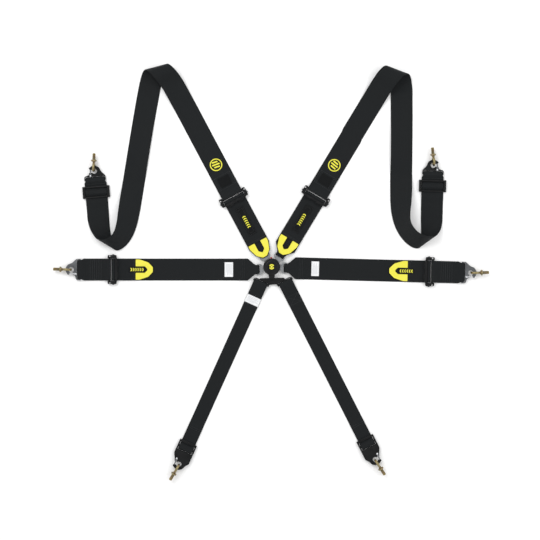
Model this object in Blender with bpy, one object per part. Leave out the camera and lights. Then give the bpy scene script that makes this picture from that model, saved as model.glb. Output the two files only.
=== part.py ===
"""Six-point racing harness with a rotary cam buckle, laid out on a flat surface.

Units are metres and +Z is up. The origin is the middle of the buckle's back face, which lies on the
surface. The shoulder belts run towards +Y, the lap belts along X and the crotch belts towards -Y.
"""

import math

import bmesh
import bpy
from mathutils import Matrix, Vector

GAP = 0.0003  # between pieces that touch
T = 0.0022  # webbing thickness
WIDE = 0.0755  # shoulder and lap webbing
NARROW = 0.050  # crotch webbing
FIRST = T / 2  # middle height of webbing on the surface
SECOND = FIRST + T + GAP  # middle height of a second layer on it
THIRD = SECOND + T + GAP
WRAP = 0.0017  # from a bar's face to the middle of the webbing round it

# Buckle
BUCKLE_R = 0.0285
BASE_TOP = 0.003
HOUSING = (0.0033, 0.0130)
COVER = (0.0133, 0.0153)
KNOB = (0.0157, 0.0262)
KNOB_R = 0.0290
LEVER_END = 0.0405
CAVITY_R = 0.0112
SPINDLE_R = 0.0040
TONGUE = (0.0065, 0.0095)  # lowest and highest face of the tongues
TONGUE_Z = sum(TONGUE) / 2
BLADE = (0.0172, 0.0140)  # where a tongue's blade ends in the buckle, and its width
BUTTON_W = 0.0062
BUTTON_X = -0.0015

# Tongue of a shoulder or lap belt
TONGUE_BAR = 0.0475  # distance of its bar from the buckle's centre
TONGUE_BAR_HALF = 0.0025
NECK_W = 0.0305  # the webbing is folded to this width in the tongue

# Adjuster, along the belt from its middle
CHEEK = (0.0390, 0.0420)
ADJUSTER_SIDE = 0.0500
ADJUSTER_X = (-0.0165, 0.0145)
LOCK_X = -0.0040
LOCK_Z = 0.0057
LOCK_R = 0.0032
LOCK_TRAVEL = 0.0020
FIXED_X = 0.0098
FIXED_Z = 0.0060
FIXED_HALF = (0.00275, 0.0020)
CROSS = (-0.0152, -0.0112)  # the part of the top plate that lies over the webbing
CROSS_Z = (0.0108, 0.0135)

# Three-bar slider
SLIDER_HALF = 0.0205
SLIDER_SIDE = 0.0465

# Hook plate, gate and eyebolt
PLATE_T = 0.003
HOOK_BAR_HALF = 0.003
HOOK_BAR_Z = 0.0062
HOOK_WRAP = 0.0019
HOOK_W = 0.066  # webbing width in the hook plate
EYE_R = 0.0090  # the hook's eye
MOUTH_HALF = 0.0050
RING_FROM_EYE = 0.0140
RING_R = 0.0130
RING_TUBE = 0.0040
RING_Z = RING_R + RING_TUBE + 0.0002
COLLAR_R = 0.0098
SHANK_R = 0.0055
SHANK_END = 0.0475

# Crotch end plate, along the belt from its middle bar
END_PLATE_Z = 0.0080
END_PLATE_EYE = 0.0595
END_PLATE_PITCH = 3.1
HOOK_PLATE_EYE = 0.0290
HOOK_PLATE_PITCH = 8.0

BLACK_STEEL = (0.022, 0.023, 0.025)
WEBBING = (0.018, 0.019, 0.020)
YELLOW = (0.78, 0.72, 0.06)
STEEL = (0.50, 0.51, 0.53)
GREY_STEEL = (0.13, 0.14, 0.15)
GOLD = (0.52, 0.38, 0.16)
RED = (0.45, 0.03, 0.03)
FINISH = {
    "webbing": (WEBBING, 0.8, 0.0),
    "pull_webbing": (YELLOW, 0.7, 0.0),
    "black_steel": (BLACK_STEEL, 0.4, 0.6),
    "grey_steel": (GREY_STEEL, 0.4, 0.8),
    "bright_steel": (STEEL, 0.3, 1.0),
    "gold_zinc": (GOLD, 0.35, 1.0),
    "black_plastic": (BLACK_STEEL, 0.45, 0.0),
    "red_plastic": (RED, 0.4, 0.0),
}


class Arm:
    """A straight run of belt. s is the distance outward, measured from the buckle's centre."""

    def __init__(self, angle, through):
        turn = math.radians(angle)
        self.angle = turn
        self.out = Vector((math.cos(turn), math.sin(turn), 0))
        self.across = Vector((-math.sin(turn), math.cos(turn), 0))
        self.offset = Vector((*through, 0)).dot(self.across)
        self.foot = self.across * self.offset

    def point(self, s, z):
        return self.foot + self.out * s + Vector((0, 0, z))

    def place(self, s, z=0.0, pitch=0.0, yaw=0.0):
        """The frame at s: X outward, Y across and Z up, its outer end lifted by pitch."""
        turn = Matrix.Rotation(self.angle + math.radians(yaw), 4, "Z")
        lift = Matrix.Rotation(-math.radians(pitch), 4, "Y")
        return Matrix.Translation(self.point(s, z)) @ turn @ lift

    def at(self, x, y):
        """How far outward the place x, y is."""
        return Vector((x, y, 0)).dot(self.out)


# ---------------------------------------------------------------- building


def clear_scene():
    for obj in list(bpy.data.objects):
        bpy.data.objects.remove(obj)


def own_material(node, finish):
    colour, roughness, metallic = FINISH[finish]
    mat = bpy.data.materials.new(f"{node}_{finish}")
    mat.use_nodes = True
    shader = mat.node_tree.nodes["Principled BSDF"]
    shader.inputs["Base Color"].default_value = (*colour, 1)
    shader.inputs["Roughness"].default_value = roughness
    shader.inputs["Metallic"].default_value = metallic
    return mat


def add(name, mesh, finish, matrix=None):
    """An object of its own from a mesh that others may share."""
    obj = bpy.data.objects.new(name, mesh)
    bpy.context.collection.objects.link(obj)
    if not mesh.materials:
        mesh.materials.append(None)
    obj.material_slots[0].link = "OBJECT"
    obj.material_slots[0].material = own_material(name, finish)
    obj.matrix_world = matrix or Matrix.Identity(4)
    return obj


def mesh_from(bm, name, smooth=False):
    bmesh.ops.recalc_face_normals(bm, faces=bm.faces)
    mesh = bpy.data.meshes.new(name)
    bm.to_mesh(mesh)
    bm.free()
    if smooth:
        mesh.shade_smooth()
        mesh.set_sharp_from_angle(angle=math.radians(35))
    return mesh


def arc(centre, radius, start, end, steps):
    """Points on a circle from one angle to another, in degrees."""
    angles = [math.radians(start + (end - start) * i / steps) for i in range(steps + 1)]
    return [(centre[0] + radius * math.cos(a), centre[1] + radius * math.sin(a)) for a in angles]


def circle(centre, radius, steps):
    return arc(centre, radius, 0, 360, steps)[:-1]


def rounded(corners, radii, step=25, closed=True):
    """A path through the corners, each turned into an arc of its radius."""
    count = len(corners)
    if not isinstance(radii, (list, tuple)):
        radii = [radii] * count
    path = []
    for i, corner in enumerate(corners):
        here = Vector(corner)
        if not closed and i in (0, count - 1):
            path.append(here)
            continue
        before = Vector(corners[i - 1]) - here
        after = Vector(corners[(i + 1) % count]) - here
        turn = math.pi - before.angle(after)
        if radii[i] <= 0 or turn < 0.02:
            path.append(here)
            continue
        reach = radii[i] * math.tan(turn / 2)
        start = here + before.normalized() * reach
        end = here + after.normalized() * reach
        inward = (before.normalized() + after.normalized()).normalized()
        centre = here + inward * (radii[i] / math.cos(turn / 2))
        pieces = max(1, math.ceil(math.degrees(turn) / step))
        for k in range(pieces + 1):
            share = k / pieces
            spoke = (start - centre).normalized().slerp((end - centre).normalized(), share)
            path.append(centre + spoke * radii[i])
    thinned = []
    for point in path:
        if not thinned or (point - thinned[-1]).length > 2e-5:
            thinned.append(point)
    return thinned


def rectangle(x0, x1, y0, y1, radius=0.0, step=30):
    corners = [(x0, y0), (x1, y0), (x1, y1), (x0, y1)]
    return rounded(corners, radius, step)


def plate_bmesh(outline, holes, z0, z1):
    """A flat plate with holes, from z0 up to z1."""
    bm = bmesh.new()
    edges = []
    for loop in [outline, *holes]:
        verts = [bm.verts.new((p[0], p[1], z0)) for p in loop]
        edges += [bm.edges.new((a, b)) for a, b in zip(verts, verts[1:] + verts[:1])]
    bmesh.ops.triangle_fill(bm, use_beauty=True, edges=edges, normal=(0, 0, 1))
    raised = bmesh.ops.extrude_face_region(bm, geom=bm.faces[:])
    top = [v for v in raised["geom"] if isinstance(v, bmesh.types.BMVert)]
    bmesh.ops.translate(bm, verts=top, vec=(0, 0, z1 - z0))
    return bm


def plate(name, outline, holes, z0, z1):
    return mesh_from(plate_bmesh(outline, holes, z0, z1), name)


def add_box(bm, x0, x1, y0, y1, z0, z1, chamfer=0.0):
    """A box whose edges along Y are cut off by chamfer."""
    c = chamfer
    section = [(x0 + c, z0), (x1 - c, z0), (x1, z0 + c), (x1, z1 - c)]
    section += [(x1 - c, z1), (x0 + c, z1), (x0, z1 - c), (x0, z0 + c)]
    if not c:
        section = [(x0, z0), (x1, z0), (x1, z1), (x0, z1)]
    near = [bm.verts.new((x, y0, z)) for x, z in section]
    far = [bm.verts.new((x, y1, z)) for x, z in section]
    bm.faces.new(near)
    bm.faces.new(far[::-1])
    for i in range(len(section)):
        j = (i + 1) % len(section)
        bm.faces.new((near[j], near[i], far[i], far[j]))


def boxes_mesh(name, boxes):
    bm = bmesh.new()
    for box in boxes:
        add_box(bm, *box)
    return mesh_from(bm, name)


def turned(name, profile, steps, closed=True):
    """A body of revolution about Z. The profile is a loop of (radius, height)."""
    bm = bmesh.new()
    rings = []
    for radius, z in profile:
        if radius < 1e-7:
            rings.append([bm.verts.new((0, 0, z))])
            continue
        ring = [bm.verts.new((x, y, z)) for x, y in circle((0, 0), radius, steps)]
        rings.append(ring)
    pairs = list(zip(rings, rings[1:]))
    if closed:
        pairs.append((rings[-1], rings[0]))
    for low, high in pairs:
        for i in range(steps):
            j = (i + 1) % steps
            corners = [low[i % len(low)], low[j % len(low)], high[j % len(high)], high[i % len(high)]]
            unique = list(dict.fromkeys(corners))
            if len(unique) > 2:
                bm.faces.new(unique)
    return mesh_from(bm, name, smooth=True)


def tube(name, line, radius, sides):
    """A round wire along a line of points, with flat ends."""
    bm = bmesh.new()
    rings = []
    for i, centre in enumerate(line):
        ahead = (line[min(i + 1, len(line) - 1)] - line[max(i - 1, 0)]).normalized()
        side = ahead.cross(Vector((0, 0, 1))).normalized()
        lift = side.cross(ahead)
        ring = []
        for k in range(sides):
            a = 2 * math.pi * k / sides
            ring.append(bm.verts.new(centre + (side * math.cos(a) + lift * math.sin(a)) * radius))
        rings.append(ring)
    for low, high in zip(rings, rings[1:]):
        for i in range(sides):
            j = (i + 1) % sides
            bm.faces.new((low[i], low[j], high[j], high[i]))
    bm.faces.new(rings[0][::-1])
    bm.faces.new(rings[-1])
    return mesh_from(bm, name, smooth=True)


def joined(name, first, others):
    """One body from overlapping meshes, by Boolean union."""
    base = bpy.data.objects.new(f"{name}_base", first)
    bpy.context.collection.objects.link(base)
    helpers = []
    for mesh in others:
        helper = bpy.data.objects.new(f"{name}_helper", mesh)
        bpy.context.collection.objects.link(helper)
        cut = base.modifiers.new("union", "BOOLEAN")
        cut.operation = "UNION"
        cut.solver = "EXACT"
        cut.object = helper
        helpers.append(helper)
    seen = base.evaluated_get(bpy.context.evaluated_depsgraph_get())
    mesh = bpy.data.meshes.new_from_object(seen)
    mesh.name = name
    mesh.materials.clear()
    for obj in [base, *helpers]:
        bpy.data.objects.remove(obj)
    return mesh


# ---------------------------------------------------------------- webbing


def ribbon(name, stations, thickness=T):
    """Flat webbing. A station is its middle, its direction across, and its width."""
    bm = bmesh.new()
    rows = []
    last = len(stations) - 1
    for i, (middle, across, width) in enumerate(stations):
        ahead = (stations[min(i + 1, last)][0] - stations[max(i - 1, 0)][0]).normalized()
        normal = ahead.cross(across).normalized()
        half = width / 2
        row = []
        for side, lift in ((-1, -1), (1, -1), (1, 1), (-1, 1)):
            corner = middle + across * (side * half) + normal * (lift * thickness / 2)
            corner.z = max(corner.z, 0)
            row.append(bm.verts.new(corner))
        rows.append(row)
    for low, high in zip(rows, rows[1:]):
        for i in range(4):
            j = (i + 1) % 4
            bm.faces.new((low[i], low[j], high[j], high[i]))
    bm.faces.new(rows[0][::-1])
    bm.faces.new(rows[-1])
    return mesh_from(bm, name)


def width_at(s, widths):
    """The width at s, from a short list of (s, width)."""
    if s <= widths[0][0]:
        return widths[0][1]
    for (s0, w0), (s1, w1) in zip(widths, widths[1:]):
        if s <= s1:
            return w0 + (w1 - w0) * (s - s0) / (s1 - s0)
    return widths[-1][1]


def run(arm, corners, widths):
    """Stations along an arm from corners of (s, z, radius)."""
    path = rounded([c[:2] for c in corners], [c[2] for c in corners], closed=False)
    split = []
    for a, b in zip(path, path[1:]):
        # a long straight stretch gets a station where its width starts and stops changing
        split.append(a)
        inner = [s for s, _ in widths if min(a.x, b.x) + 1e-4 < s < max(a.x, b.x) - 1e-4]
        for s in sorted(inner, reverse=b.x < a.x):
            split.append(a.lerp(b, (s - a.x) / (b.x - a.x)))
    split.append(path[-1])
    return [(arm.point(p.x, p.y), arm.across, width_at(p.x, widths)) for p in split]


def soft(stations, width, per_span):
    """A smooth run through a few stations of (middle, turn of the across line, tilt of it)."""
    keys = []
    for middle, turn, tilt in stations:
        turn, tilt = math.radians(turn), math.radians(tilt)
        across = Vector((-math.cos(turn) * math.cos(tilt), -math.sin(turn) * math.cos(tilt), math.sin(tilt)))
        keys.append((Vector(middle), across))
    steps = [(b[0] - a[0]).length for a, b in zip(keys, keys[1:])]

    def slope(i, part):
        if i == 0:
            return (keys[1][part] - keys[0][part]) / steps[0]
        if i == len(keys) - 1:
            return (keys[-1][part] - keys[-2][part]) / steps[-1]
        before = (keys[i][part] - keys[i - 1][part]) / steps[i - 1]
        after = (keys[i + 1][part] - keys[i][part]) / steps[i]
        return (before * steps[i] + after * steps[i - 1]) / (steps[i - 1] + steps[i])

    made = []
    for i, step in enumerate(steps):
        for k in range(per_span):
            t = k / per_span
            blend = (2 * t**3 - 3 * t**2 + 1, t**3 - 2 * t**2 + t, 3 * t**2 - 2 * t**3, t**3 - t**2)
            value = []
            for part in (0, 1):
                a, b = keys[i][part], keys[i + 1][part]
                m0, m1 = slope(i, part) * step, slope(i + 1, part) * step
                value.append(a * blend[0] + m0 * blend[1] + b * blend[2] + m1 * blend[3])
            middle, across = value[0], value[1].normalized()
            # the lower edge stays on the floor or above it
            middle.z = max(middle.z, FIRST + abs(across.z) * width / 2)
            made.append((middle, across, width))
    made.append((*keys[-1], width))
    return made


# ---------------------------------------------------------------- buckle


def notched_disc(radius, notches, steps):
    """A circle with slots cut in from its edge: (angle, side offset, width, depth radius)."""
    loop = []
    marks = []
    for angle, offset, width, inner in notches:
        turn = math.radians(angle)
        out = Vector((math.cos(turn), math.sin(turn)))
        side = Vector((-math.sin(turn), math.cos(turn)))
        corners = []
        for edge, reach in ((-1, None), (-1, inner), (1, inner), (1, None)):
            y = offset + edge * width / 2
            x = math.sqrt(radius**2 - y**2) if reach is None else reach
            corners.append(out * x + side * y)
        start = math.degrees(math.atan2(corners[0].y, corners[0].x)) % 360
        end = math.degrees(math.atan2(corners[3].y, corners[3].x)) % 360
        marks.append((start, end, corners))
    marks.sort(key=lambda m: m[0])
    for (start, end, corners), following in zip(marks, marks[1:] + marks[:1]):
        loop += [tuple(c) for c in corners]
        stop = following[0] + (360 if following[0] <= end else 0)
        pieces = max(1, math.ceil((stop - end) / (360 / steps)))
        loop += arc((0, 0), radius, end, stop, pieces)[1:-1]
    return loop


def build_buckle(arms):
    add("base_plate", plate("base_plate", circle((0, 0), BUCKLE_R, 40), [], 0, BASE_TOP), "black_steel")

    notches = []
    for arm in arms:
        notches.append((math.degrees(arm.angle), arm.offset, BLADE[1] + 0.0010, BLADE[0] - 0.0008))
    notches.append((90, -BUTTON_X, BUTTON_W + 0.0008, 0.0215))
    outline = notched_disc(BUCKLE_R, notches, 40)
    hole = circle((0, 0), CAVITY_R, 24)
    add("housing", plate("housing", outline, [hole], *HOUSING), "black_plastic")
    cover_hole = circle((0, 0), 0.0068, 20)
    cover = plate("top_cover", circle((0, 0), BUCKLE_R, 40), [cover_hole], *COVER)
    add("top_cover", cover, "black_steel")

    low = BASE_TOP + GAP
    spindle = [(0, low), (0.0075, low), (0.0075, 0.0050), (SPINDLE_R, 0.0050), (SPINDLE_R, 0.0216),
               (0.0030, 0.0216), (0.0030, 0.0236), (0, 0.0236)]
    add("spindle", turned("spindle", spindle, 20, closed=False), "bright_steel")
    hub = SPINDLE_R + GAP
    cam = [(hub, 0.0054), (0.0102, 0.0054), (0.0102, 0.0095), (0.0064, 0.0095), (0.0064, 0.0196),
           (hub, 0.0196)]
    add("cam_disc", turned("cam_disc", cam, 24), "bright_steel")
    ring = [(0.0033, 0.0219), (0.0065, 0.0219), (0.0065, 0.0229), (0.0033, 0.0229)]
    add("retaining_ring", turned("retaining_ring", ring, 20), "bright_steel")

    coil = []
    turns, per_turn = 3.0, 14
    for i in range(int(turns * per_turn) + 1):
        a = 2 * math.pi * i / per_turn
        z = 0.0166 + 0.0030 * i / (turns * per_turn)
        coil.append(Vector((0.0098 * math.cos(a), 0.0098 * math.sin(a), z)))
    add("return_spring", tube("return_spring", coil, 0.00042, 6), "bright_steel")

    z0, z1 = KNOB
    rim = [(KNOB_R - 0.0008, z0), (KNOB_R, z0 + 0.0010), (KNOB_R, z1 - 0.0032), (KNOB_R - 0.0016, z1 - 0.0008),
           (KNOB_R - 0.0034, z1), (0.0222, z1), (0.0214, z1 - 0.0010), (0.0200, z1 - 0.0010),
           (0.0192, z1), (0.0112, z1), (0.0112, 0.0216), (hub, 0.0216), (hub, 0.0200), (0.0130, 0.0200),
           (0.0130, z0)]
    disc = turned("knob_disc", rim, 32)
    lever = rounded([(-0.0115, -0.0200), (-0.0090, -LEVER_END), (0.0090, -LEVER_END), (0.0115, -0.0200)],
                    [0, 0.005, 0.005, 0])
    paddle = plate("knob_lever", lever, [], z0 + 0.0008, z1 - 0.0040)
    add("rotary_knob", joined("rotary_knob", disc, [paddle]), "black_plastic")
    badge = [(0, 0.0238), (0.0104, 0.0238), (0.0108, 0.0246), (0.0108, 0.0266), (0.0100, 0.0274), (0, 0.0277)]
    add("knob_badge", turned("knob_badge", badge, 28, closed=False), "black_plastic")

    half = BUTTON_W / 2
    button = rectangle(-half, half, 0.0246, 0.0334, 0.0018)
    place = Matrix.Translation((BUTTON_X, 0, 0))
    add("red_button", plate("red_button", button, [], 0.0040, 0.0122), "red_plastic", place)
    coil = []
    steps, per_turn = 16, 8
    for i in range(steps + 1):
        a = 2 * math.pi * i / per_turn
        coil.append(Vector((0.0016 * math.cos(a), 0.0222 + 0.0017 * i / steps, 0.0081 + 0.0016 * math.sin(a))))
    add("button_spring", tube("button_spring", coil, 0.00034, 6), "bright_steel", place)


def tongue_mesh():
    """A steel tongue with its bar, in the arm's own frame."""
    bar = TONGUE_BAR
    inner, outer = bar - 0.0180, bar + TONGUE_BAR_HALF
    half = BLADE[1] / 2
    outline = [(BLADE[0], -half), (inner, -half), (inner + 0.0075, -0.0188), (outer, -0.0195),
               (outer, 0.0195), (inner + 0.0075, 0.0188), (inner, half), (BLADE[0], half)]
    radii = [0.002, 0.002, 0.004, 0.002, 0.002, 0.004, 0.002, 0.002]
    slot = rectangle(bar - 0.0075, bar - TONGUE_BAR_HALF, -0.0160, 0.0160, 0.001)
    latch = rectangle(0.0200, 0.0240, -0.0035, 0.0035, 0)
    return plate("tongue", rounded(outline, radii), [slot, latch], *TONGUE)


# ---------------------------------------------------------------- adjuster


def adjuster_mesh():
    """Two slotted cheeks, a fixed bar and a top plate that clamps the tail, in one frame."""
    near, far = CHEEK
    x0, x1 = ADJUSTER_X
    low, high = CROSS_Z
    side = rectangle(x0 + 0.001, x1 - 0.001, 0.0004, low + 0.0010)
    play = LOCK_R + 0.0005
    slot = rectangle(LOCK_X - LOCK_TRAVEL - play, LOCK_X + play, LOCK_Z - play, LOCK_Z + play, play * 0.9)
    cheeks = []
    for name, y in (("right", far), ("left", -near)):
        cheek = plate(name, side, [slot], 0, far - near)
        cheek.transform(Matrix.Translation((0, y, 0)) @ Matrix.Rotation(math.radians(90), 4, "X"))
        cheeks.append(cheek)
    fx, fz = FIXED_HALF
    span = near + 0.0015
    bar = boxes_mesh("bar", [(FIXED_X - fx, FIXED_X + fx, -span, span, FIXED_Z - fz, FIXED_Z + fz, 0.0008)])
    edge = ADJUSTER_SIDE
    shape = [(x0, -edge), (x1, -edge), (x1, -near), (CROSS[1], -near), (CROSS[1], near), (x1, near),
             (x1, edge), (x0, edge)]
    radii = [0.004, 0.004, 0, 0.002, 0.002, 0, 0.004, 0.004]
    for middle in (0.019, -0.019):
        shape += [(x0, middle + 0.010), (x0 - 0.0035, middle + 0.005), (x0 - 0.0035, middle - 0.005),
                  (x0, middle - 0.010)]
        radii += [0, 0, 0, 0]
    holes = [circle((0.0070, y), 0.0024, 10) for y in (0.0462, -0.0462)]
    top = plate("top", rounded(shape, radii), holes, low, high)
    return joined("adjuster", top, [*cheeks, bar])


def lock_bar_mesh():
    """A round bar across the adjuster, its ends in the cheeks' slots."""
    half = CHEEK[1] + 0.0062
    ends = [Vector((0, -half, 0)), Vector((0, 0, 0)), Vector((0, half, 0))]
    return tube("lock_bar", ends, LOCK_R, 12)


def adjusted_belt(arm, adjuster, tail_end):
    """Webbing from a tongue to the adjuster's lock bar, and back over itself as the tail.

    A tail that reaches the tongue's sewn layers lies on top of them.
    """
    low, high = TONGUE_Z - PLATE_T / 2 - WRAP, TONGUE_Z + PLATE_T / 2 + WRAP
    turn = TONGUE_BAR - TONGUE_BAR_HALF - WRAP
    round_bar = LOCK_R + GAP + T / 2
    far = adjuster + LOCK_X + round_bar
    top = LOCK_Z + round_bar
    corners = [(0.104, FIRST, 0), (0.070, FIRST, 0.01), (0.058, low, 0.01), (turn, low, 0.0025),
               (turn, high, 0.0025), (0.055, high, 0.01), (0.092, SECOND, 0.01), (0.110, SECOND, 0.01),
               (0.121, FIRST, 0.01), (far, FIRST, round_bar * 0.999), (far, top, round_bar * 0.999),
               (adjuster - 0.0065, top, 0.004), (adjuster - 0.0215, SECOND, 0.004)]
    if tail_end < 0.125:
        corners += [(0.142, SECOND, 0.01), (0.129, THIRD, 0.01), (tail_end, THIRD, 0)]
    else:
        corners.append((tail_end, SECOND, 0))
    widths = [(0.048, NECK_W), (0.058, NECK_W + 0.003), (0.082, WIDE)]
    return run(arm, corners, widths)


# ---------------------------------------------------------------- ends


def hook_outline(back, half, corner, far_corner, eye, side):
    """A plate from back to its hook, whose mouth opens to one side. The eye is part of the outline.

    The plate keeps its full width up to corner on the mouth's side and far_corner on the other.
    """
    a = math.degrees(math.acos(MOUTH_HALF / EYE_R))
    inner = arc((eye, 0), EYE_R, -180 + a, -a - 360, 14)
    wall = [(eye - MOUTH_HALF, -0.0178)]
    nose = arc((eye + MOUTH_HALF + 0.0052, -0.0125), 0.0052, 180, 300, 4)
    outer = arc((eye, 0), 0.0195, -38, 40, 6)
    shape = [(back, -half)]
    shape += rounded([(back, -half), (corner, -half), (eye - 0.0125, -0.0210)], [0, 0.006, 0],
                     closed=False)[1:]
    shape += wall + inner + nose + outer
    shape += rounded([(eye + 0.0110, 0.0175), (eye - 0.0030, 0.0230), (far_corner, half), (back, half)],
                     [0, 0.012, 0.008, 0], closed=False)
    loop = []
    for x, y in shape:
        if not loop or math.hypot(x - loop[-1][0], y - loop[-1][1]) > 1e-4:
            loop.append((x, y))
    return [(x, y * side) for x, y in loop][:: side]


def pivot_of(eye, side):
    return (eye - 0.0150, -0.0148 * side)


def hook_plate_mesh(name, outline, slots, eye, side):
    """The plate with the boss that its gate turns on."""
    half = PLATE_T / 2
    body = plate(name, outline, slots, -half, half)
    x, y = pivot_of(eye, side)
    boss = plate(f"{name}_boss", circle((x, y), 0.0014, 12), [], 0, half + GAP + 0.0019)
    return joined(name, body, [boss])


def gate_mesh(side):
    """A flat finger from its pivot to the hook's nose."""
    outline = arc((0, 0), 0.0036, 60, 280, 8) + [(0.0120, -0.0012), (0.0215, 0.0000)]
    outline += [(0.0232, 0.0016), (0.0218, 0.0034), (0.0120, 0.0030)]
    outline = [(x, y * side) for x, y in outline][:: side]
    low = PLATE_T / 2 + GAP
    return plate("gate", outline, [circle((0, 0), 0.0017, 12)], low, low + 0.0016)


def eyebolt_mesh():
    """Ring, round collar and threaded shank. The origin is the ring's centre and X runs outward."""
    bm = bmesh.new()
    major, minor = 20, 6
    grid = []
    for i in range(major):
        a = 2 * math.pi * i / major
        row = []
        for k in range(minor):
            b = 2 * math.pi * (k + 0.5) / minor
            r = RING_R + RING_TUBE * math.cos(b)
            row.append(bm.verts.new((r * math.cos(a), RING_TUBE * math.sin(b), r * math.sin(a))))
        grid.append(row)
    for i in range(major):
        for k in range(minor):
            n, m = (i + 1) % major, (k + 1) % minor
            bm.faces.new((grid[i][k], grid[i][m], grid[n][m], grid[n][k]))
    ring = mesh_from(bm, "ring", smooth=True)
    start = RING_R + 0.0008
    neck = [(0, start), (0.0044, start), (0.0056, 0.0185), (COLLAR_R, 0.0192), (COLLAR_R, 0.0243),
            (SHANK_R, 0.0243), (SHANK_R, SHANK_END - 0.0012), (SHANK_R - 0.0012, SHANK_END), (0, SHANK_END)]
    shank = turned("shank", neck, 12, closed=False)
    shank.transform(Matrix.Rotation(math.radians(90), 4, "Y"))
    return joined("eyebolt", ring, [shank])


def add_hook(prefix, arm, bar, eye, height, pitch, side, mesh_plate, meshes, yaw):
    """A hook plate with its gate and its eyebolt."""
    place = arm.place(bar, height, pitch)
    add(f"{prefix}_hook_plate", mesh_plate, "grey_steel" if "lap" in prefix else "black_steel", place)
    x, y = pivot_of(eye, side)
    gate = place @ Matrix.Translation((x, y, 0))
    add(f"{prefix}_gate", meshes[f"gate{side}"], "bright_steel", gate)
    ring = bar + (eye + RING_FROM_EYE) * math.cos(math.radians(pitch))
    add(f"{prefix}_eyebolt", meshes["eyebolt"], "gold_zinc", arm.place(ring, RING_Z, 0, yaw))


def pull_loop_mesh(length, base_half):
    """A flat U of yellow webbing. X runs back from its tip end, and the finger gap is open inside."""
    outer = [(-length * 0.22, base_half), (-length * 0.72, base_half * 0.72), (-length, base_half * 0.24)]
    shape = [(0, -base_half), (0, -0.0105), (-length * 0.52, -0.0105), (-length * 0.70, 0),
             (-length * 0.52, 0.0105), (0, 0.0105), (0, base_half)]
    shape += outer + [(x, -y) for x, y in reversed(outer)]
    radii = [0, 0, 0.006, 0.006, 0.006, 0, 0, 0.01, 0.012, 0.006, 0.006, 0.012, 0.01]
    return plate("pull_loop", rounded(shape, radii), [], 0, 0.0026)


# ---------------------------------------------------------------- belts


def wrap_bar(s, z, half_x, half_z, off, inward):
    """The two corners of webbing that turns round a bar, from below to above."""
    x = s - half_x - off if inward else s + half_x + off
    return [(x, z - half_z - off, 0.0025), (x, z + half_z + off, 0.0025)]


def build_lap(prefix, arm, adjuster, tail_end, tip, hook_bar, side, yaw, meshes):
    add(f"{prefix}_tongue", meshes["tongue"], "bright_steel", arm.place(0))
    belt = adjusted_belt(arm, adjuster, tail_end)
    add(f"{prefix}_belt", ribbon(f"{prefix}_belt", belt), "webbing")
    add_adjuster(prefix, arm, adjuster, meshes)
    loop = pull_loop_mesh(tail_end - tip, 0.036)
    add(f"{prefix}_pull_loop", loop, "pull_webbing", arm.place(tail_end - GAP, SECOND - T / 2))

    fx, fz = FIXED_HALF
    near = wrap_bar(adjuster + FIXED_X, FIXED_Z, fx, fz, WRAP, True)
    far = wrap_bar(hook_bar, HOOK_BAR_Z, HOOK_BAR_HALF, PLATE_T / 2, HOOK_WRAP, False)
    middle = (adjuster + hook_bar) / 2
    corners = [(middle - 0.003, FIRST, 0), (adjuster + 0.024, FIRST, 0.01), (adjuster + 0.016, near[0][1], 0.01)]
    corners += near + [(adjuster + 0.014, near[1][1], 0.01), (adjuster + 0.034, SECOND, 0.01)]
    corners += [(hook_bar - 0.024, SECOND, 0.01), (hook_bar - 0.006, far[1][1], 0.01)] + far[::-1]
    corners += [(hook_bar - 0.007, far[0][1], 0.01), (hook_bar - 0.016, FIRST, 0.01), (middle + 0.003, FIRST, 0)]
    widths = [(hook_bar - 0.014, WIDE), (hook_bar - 0.004, HOOK_W)]
    add(f"{prefix}_anchor_strap", ribbon(f"{prefix}_anchor_strap", run(arm, corners, widths)), "webbing")
    add_hook(prefix, arm, hook_bar, HOOK_PLATE_EYE, HOOK_BAR_Z, HOOK_PLATE_PITCH, side,
             meshes[f"hook{side}"], meshes, yaw)


def add_adjuster(prefix, arm, adjuster, meshes):
    add(f"{prefix}_adjuster", meshes["adjuster"], "black_steel", arm.place(adjuster))
    place = arm.place(adjuster + LOCK_X, LOCK_Z)
    add(f"{prefix}_lock_bar", meshes["lock_bar"], "bright_steel", place)


def slider_mesh():
    """A frame with two raised outer bars and a low middle bar."""
    half, side = SLIDER_HALF, SLIDER_SIDE
    inner = side - 0.0078
    high, low = (0.0057, 0.0092), (0.0004, 0.0034)
    rail_a = boxes_mesh("rail_a", [(-half, half, inner, side, 0.0004, 0.0091, 0.001)])
    rail_b = boxes_mesh("rail_b", [(-half, half, -side, -inner, 0.0004, 0.0091, 0.001)])
    span = inner + 0.002
    bars = [boxes_mesh("bar_a", [(-half + 0.0001, -0.0142, -span, span, *high, 0.0010)]),
            boxes_mesh("bar_b", [(0.0142, half - 0.0001, -span, span, *high, 0.0010)]),
            boxes_mesh("bar_c", [(-0.0035, 0.0035, -span, span, low[0] + 0.0001, low[1], 0.0008)])]
    return joined("slider", rail_a, [rail_b, *bars])


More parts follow.
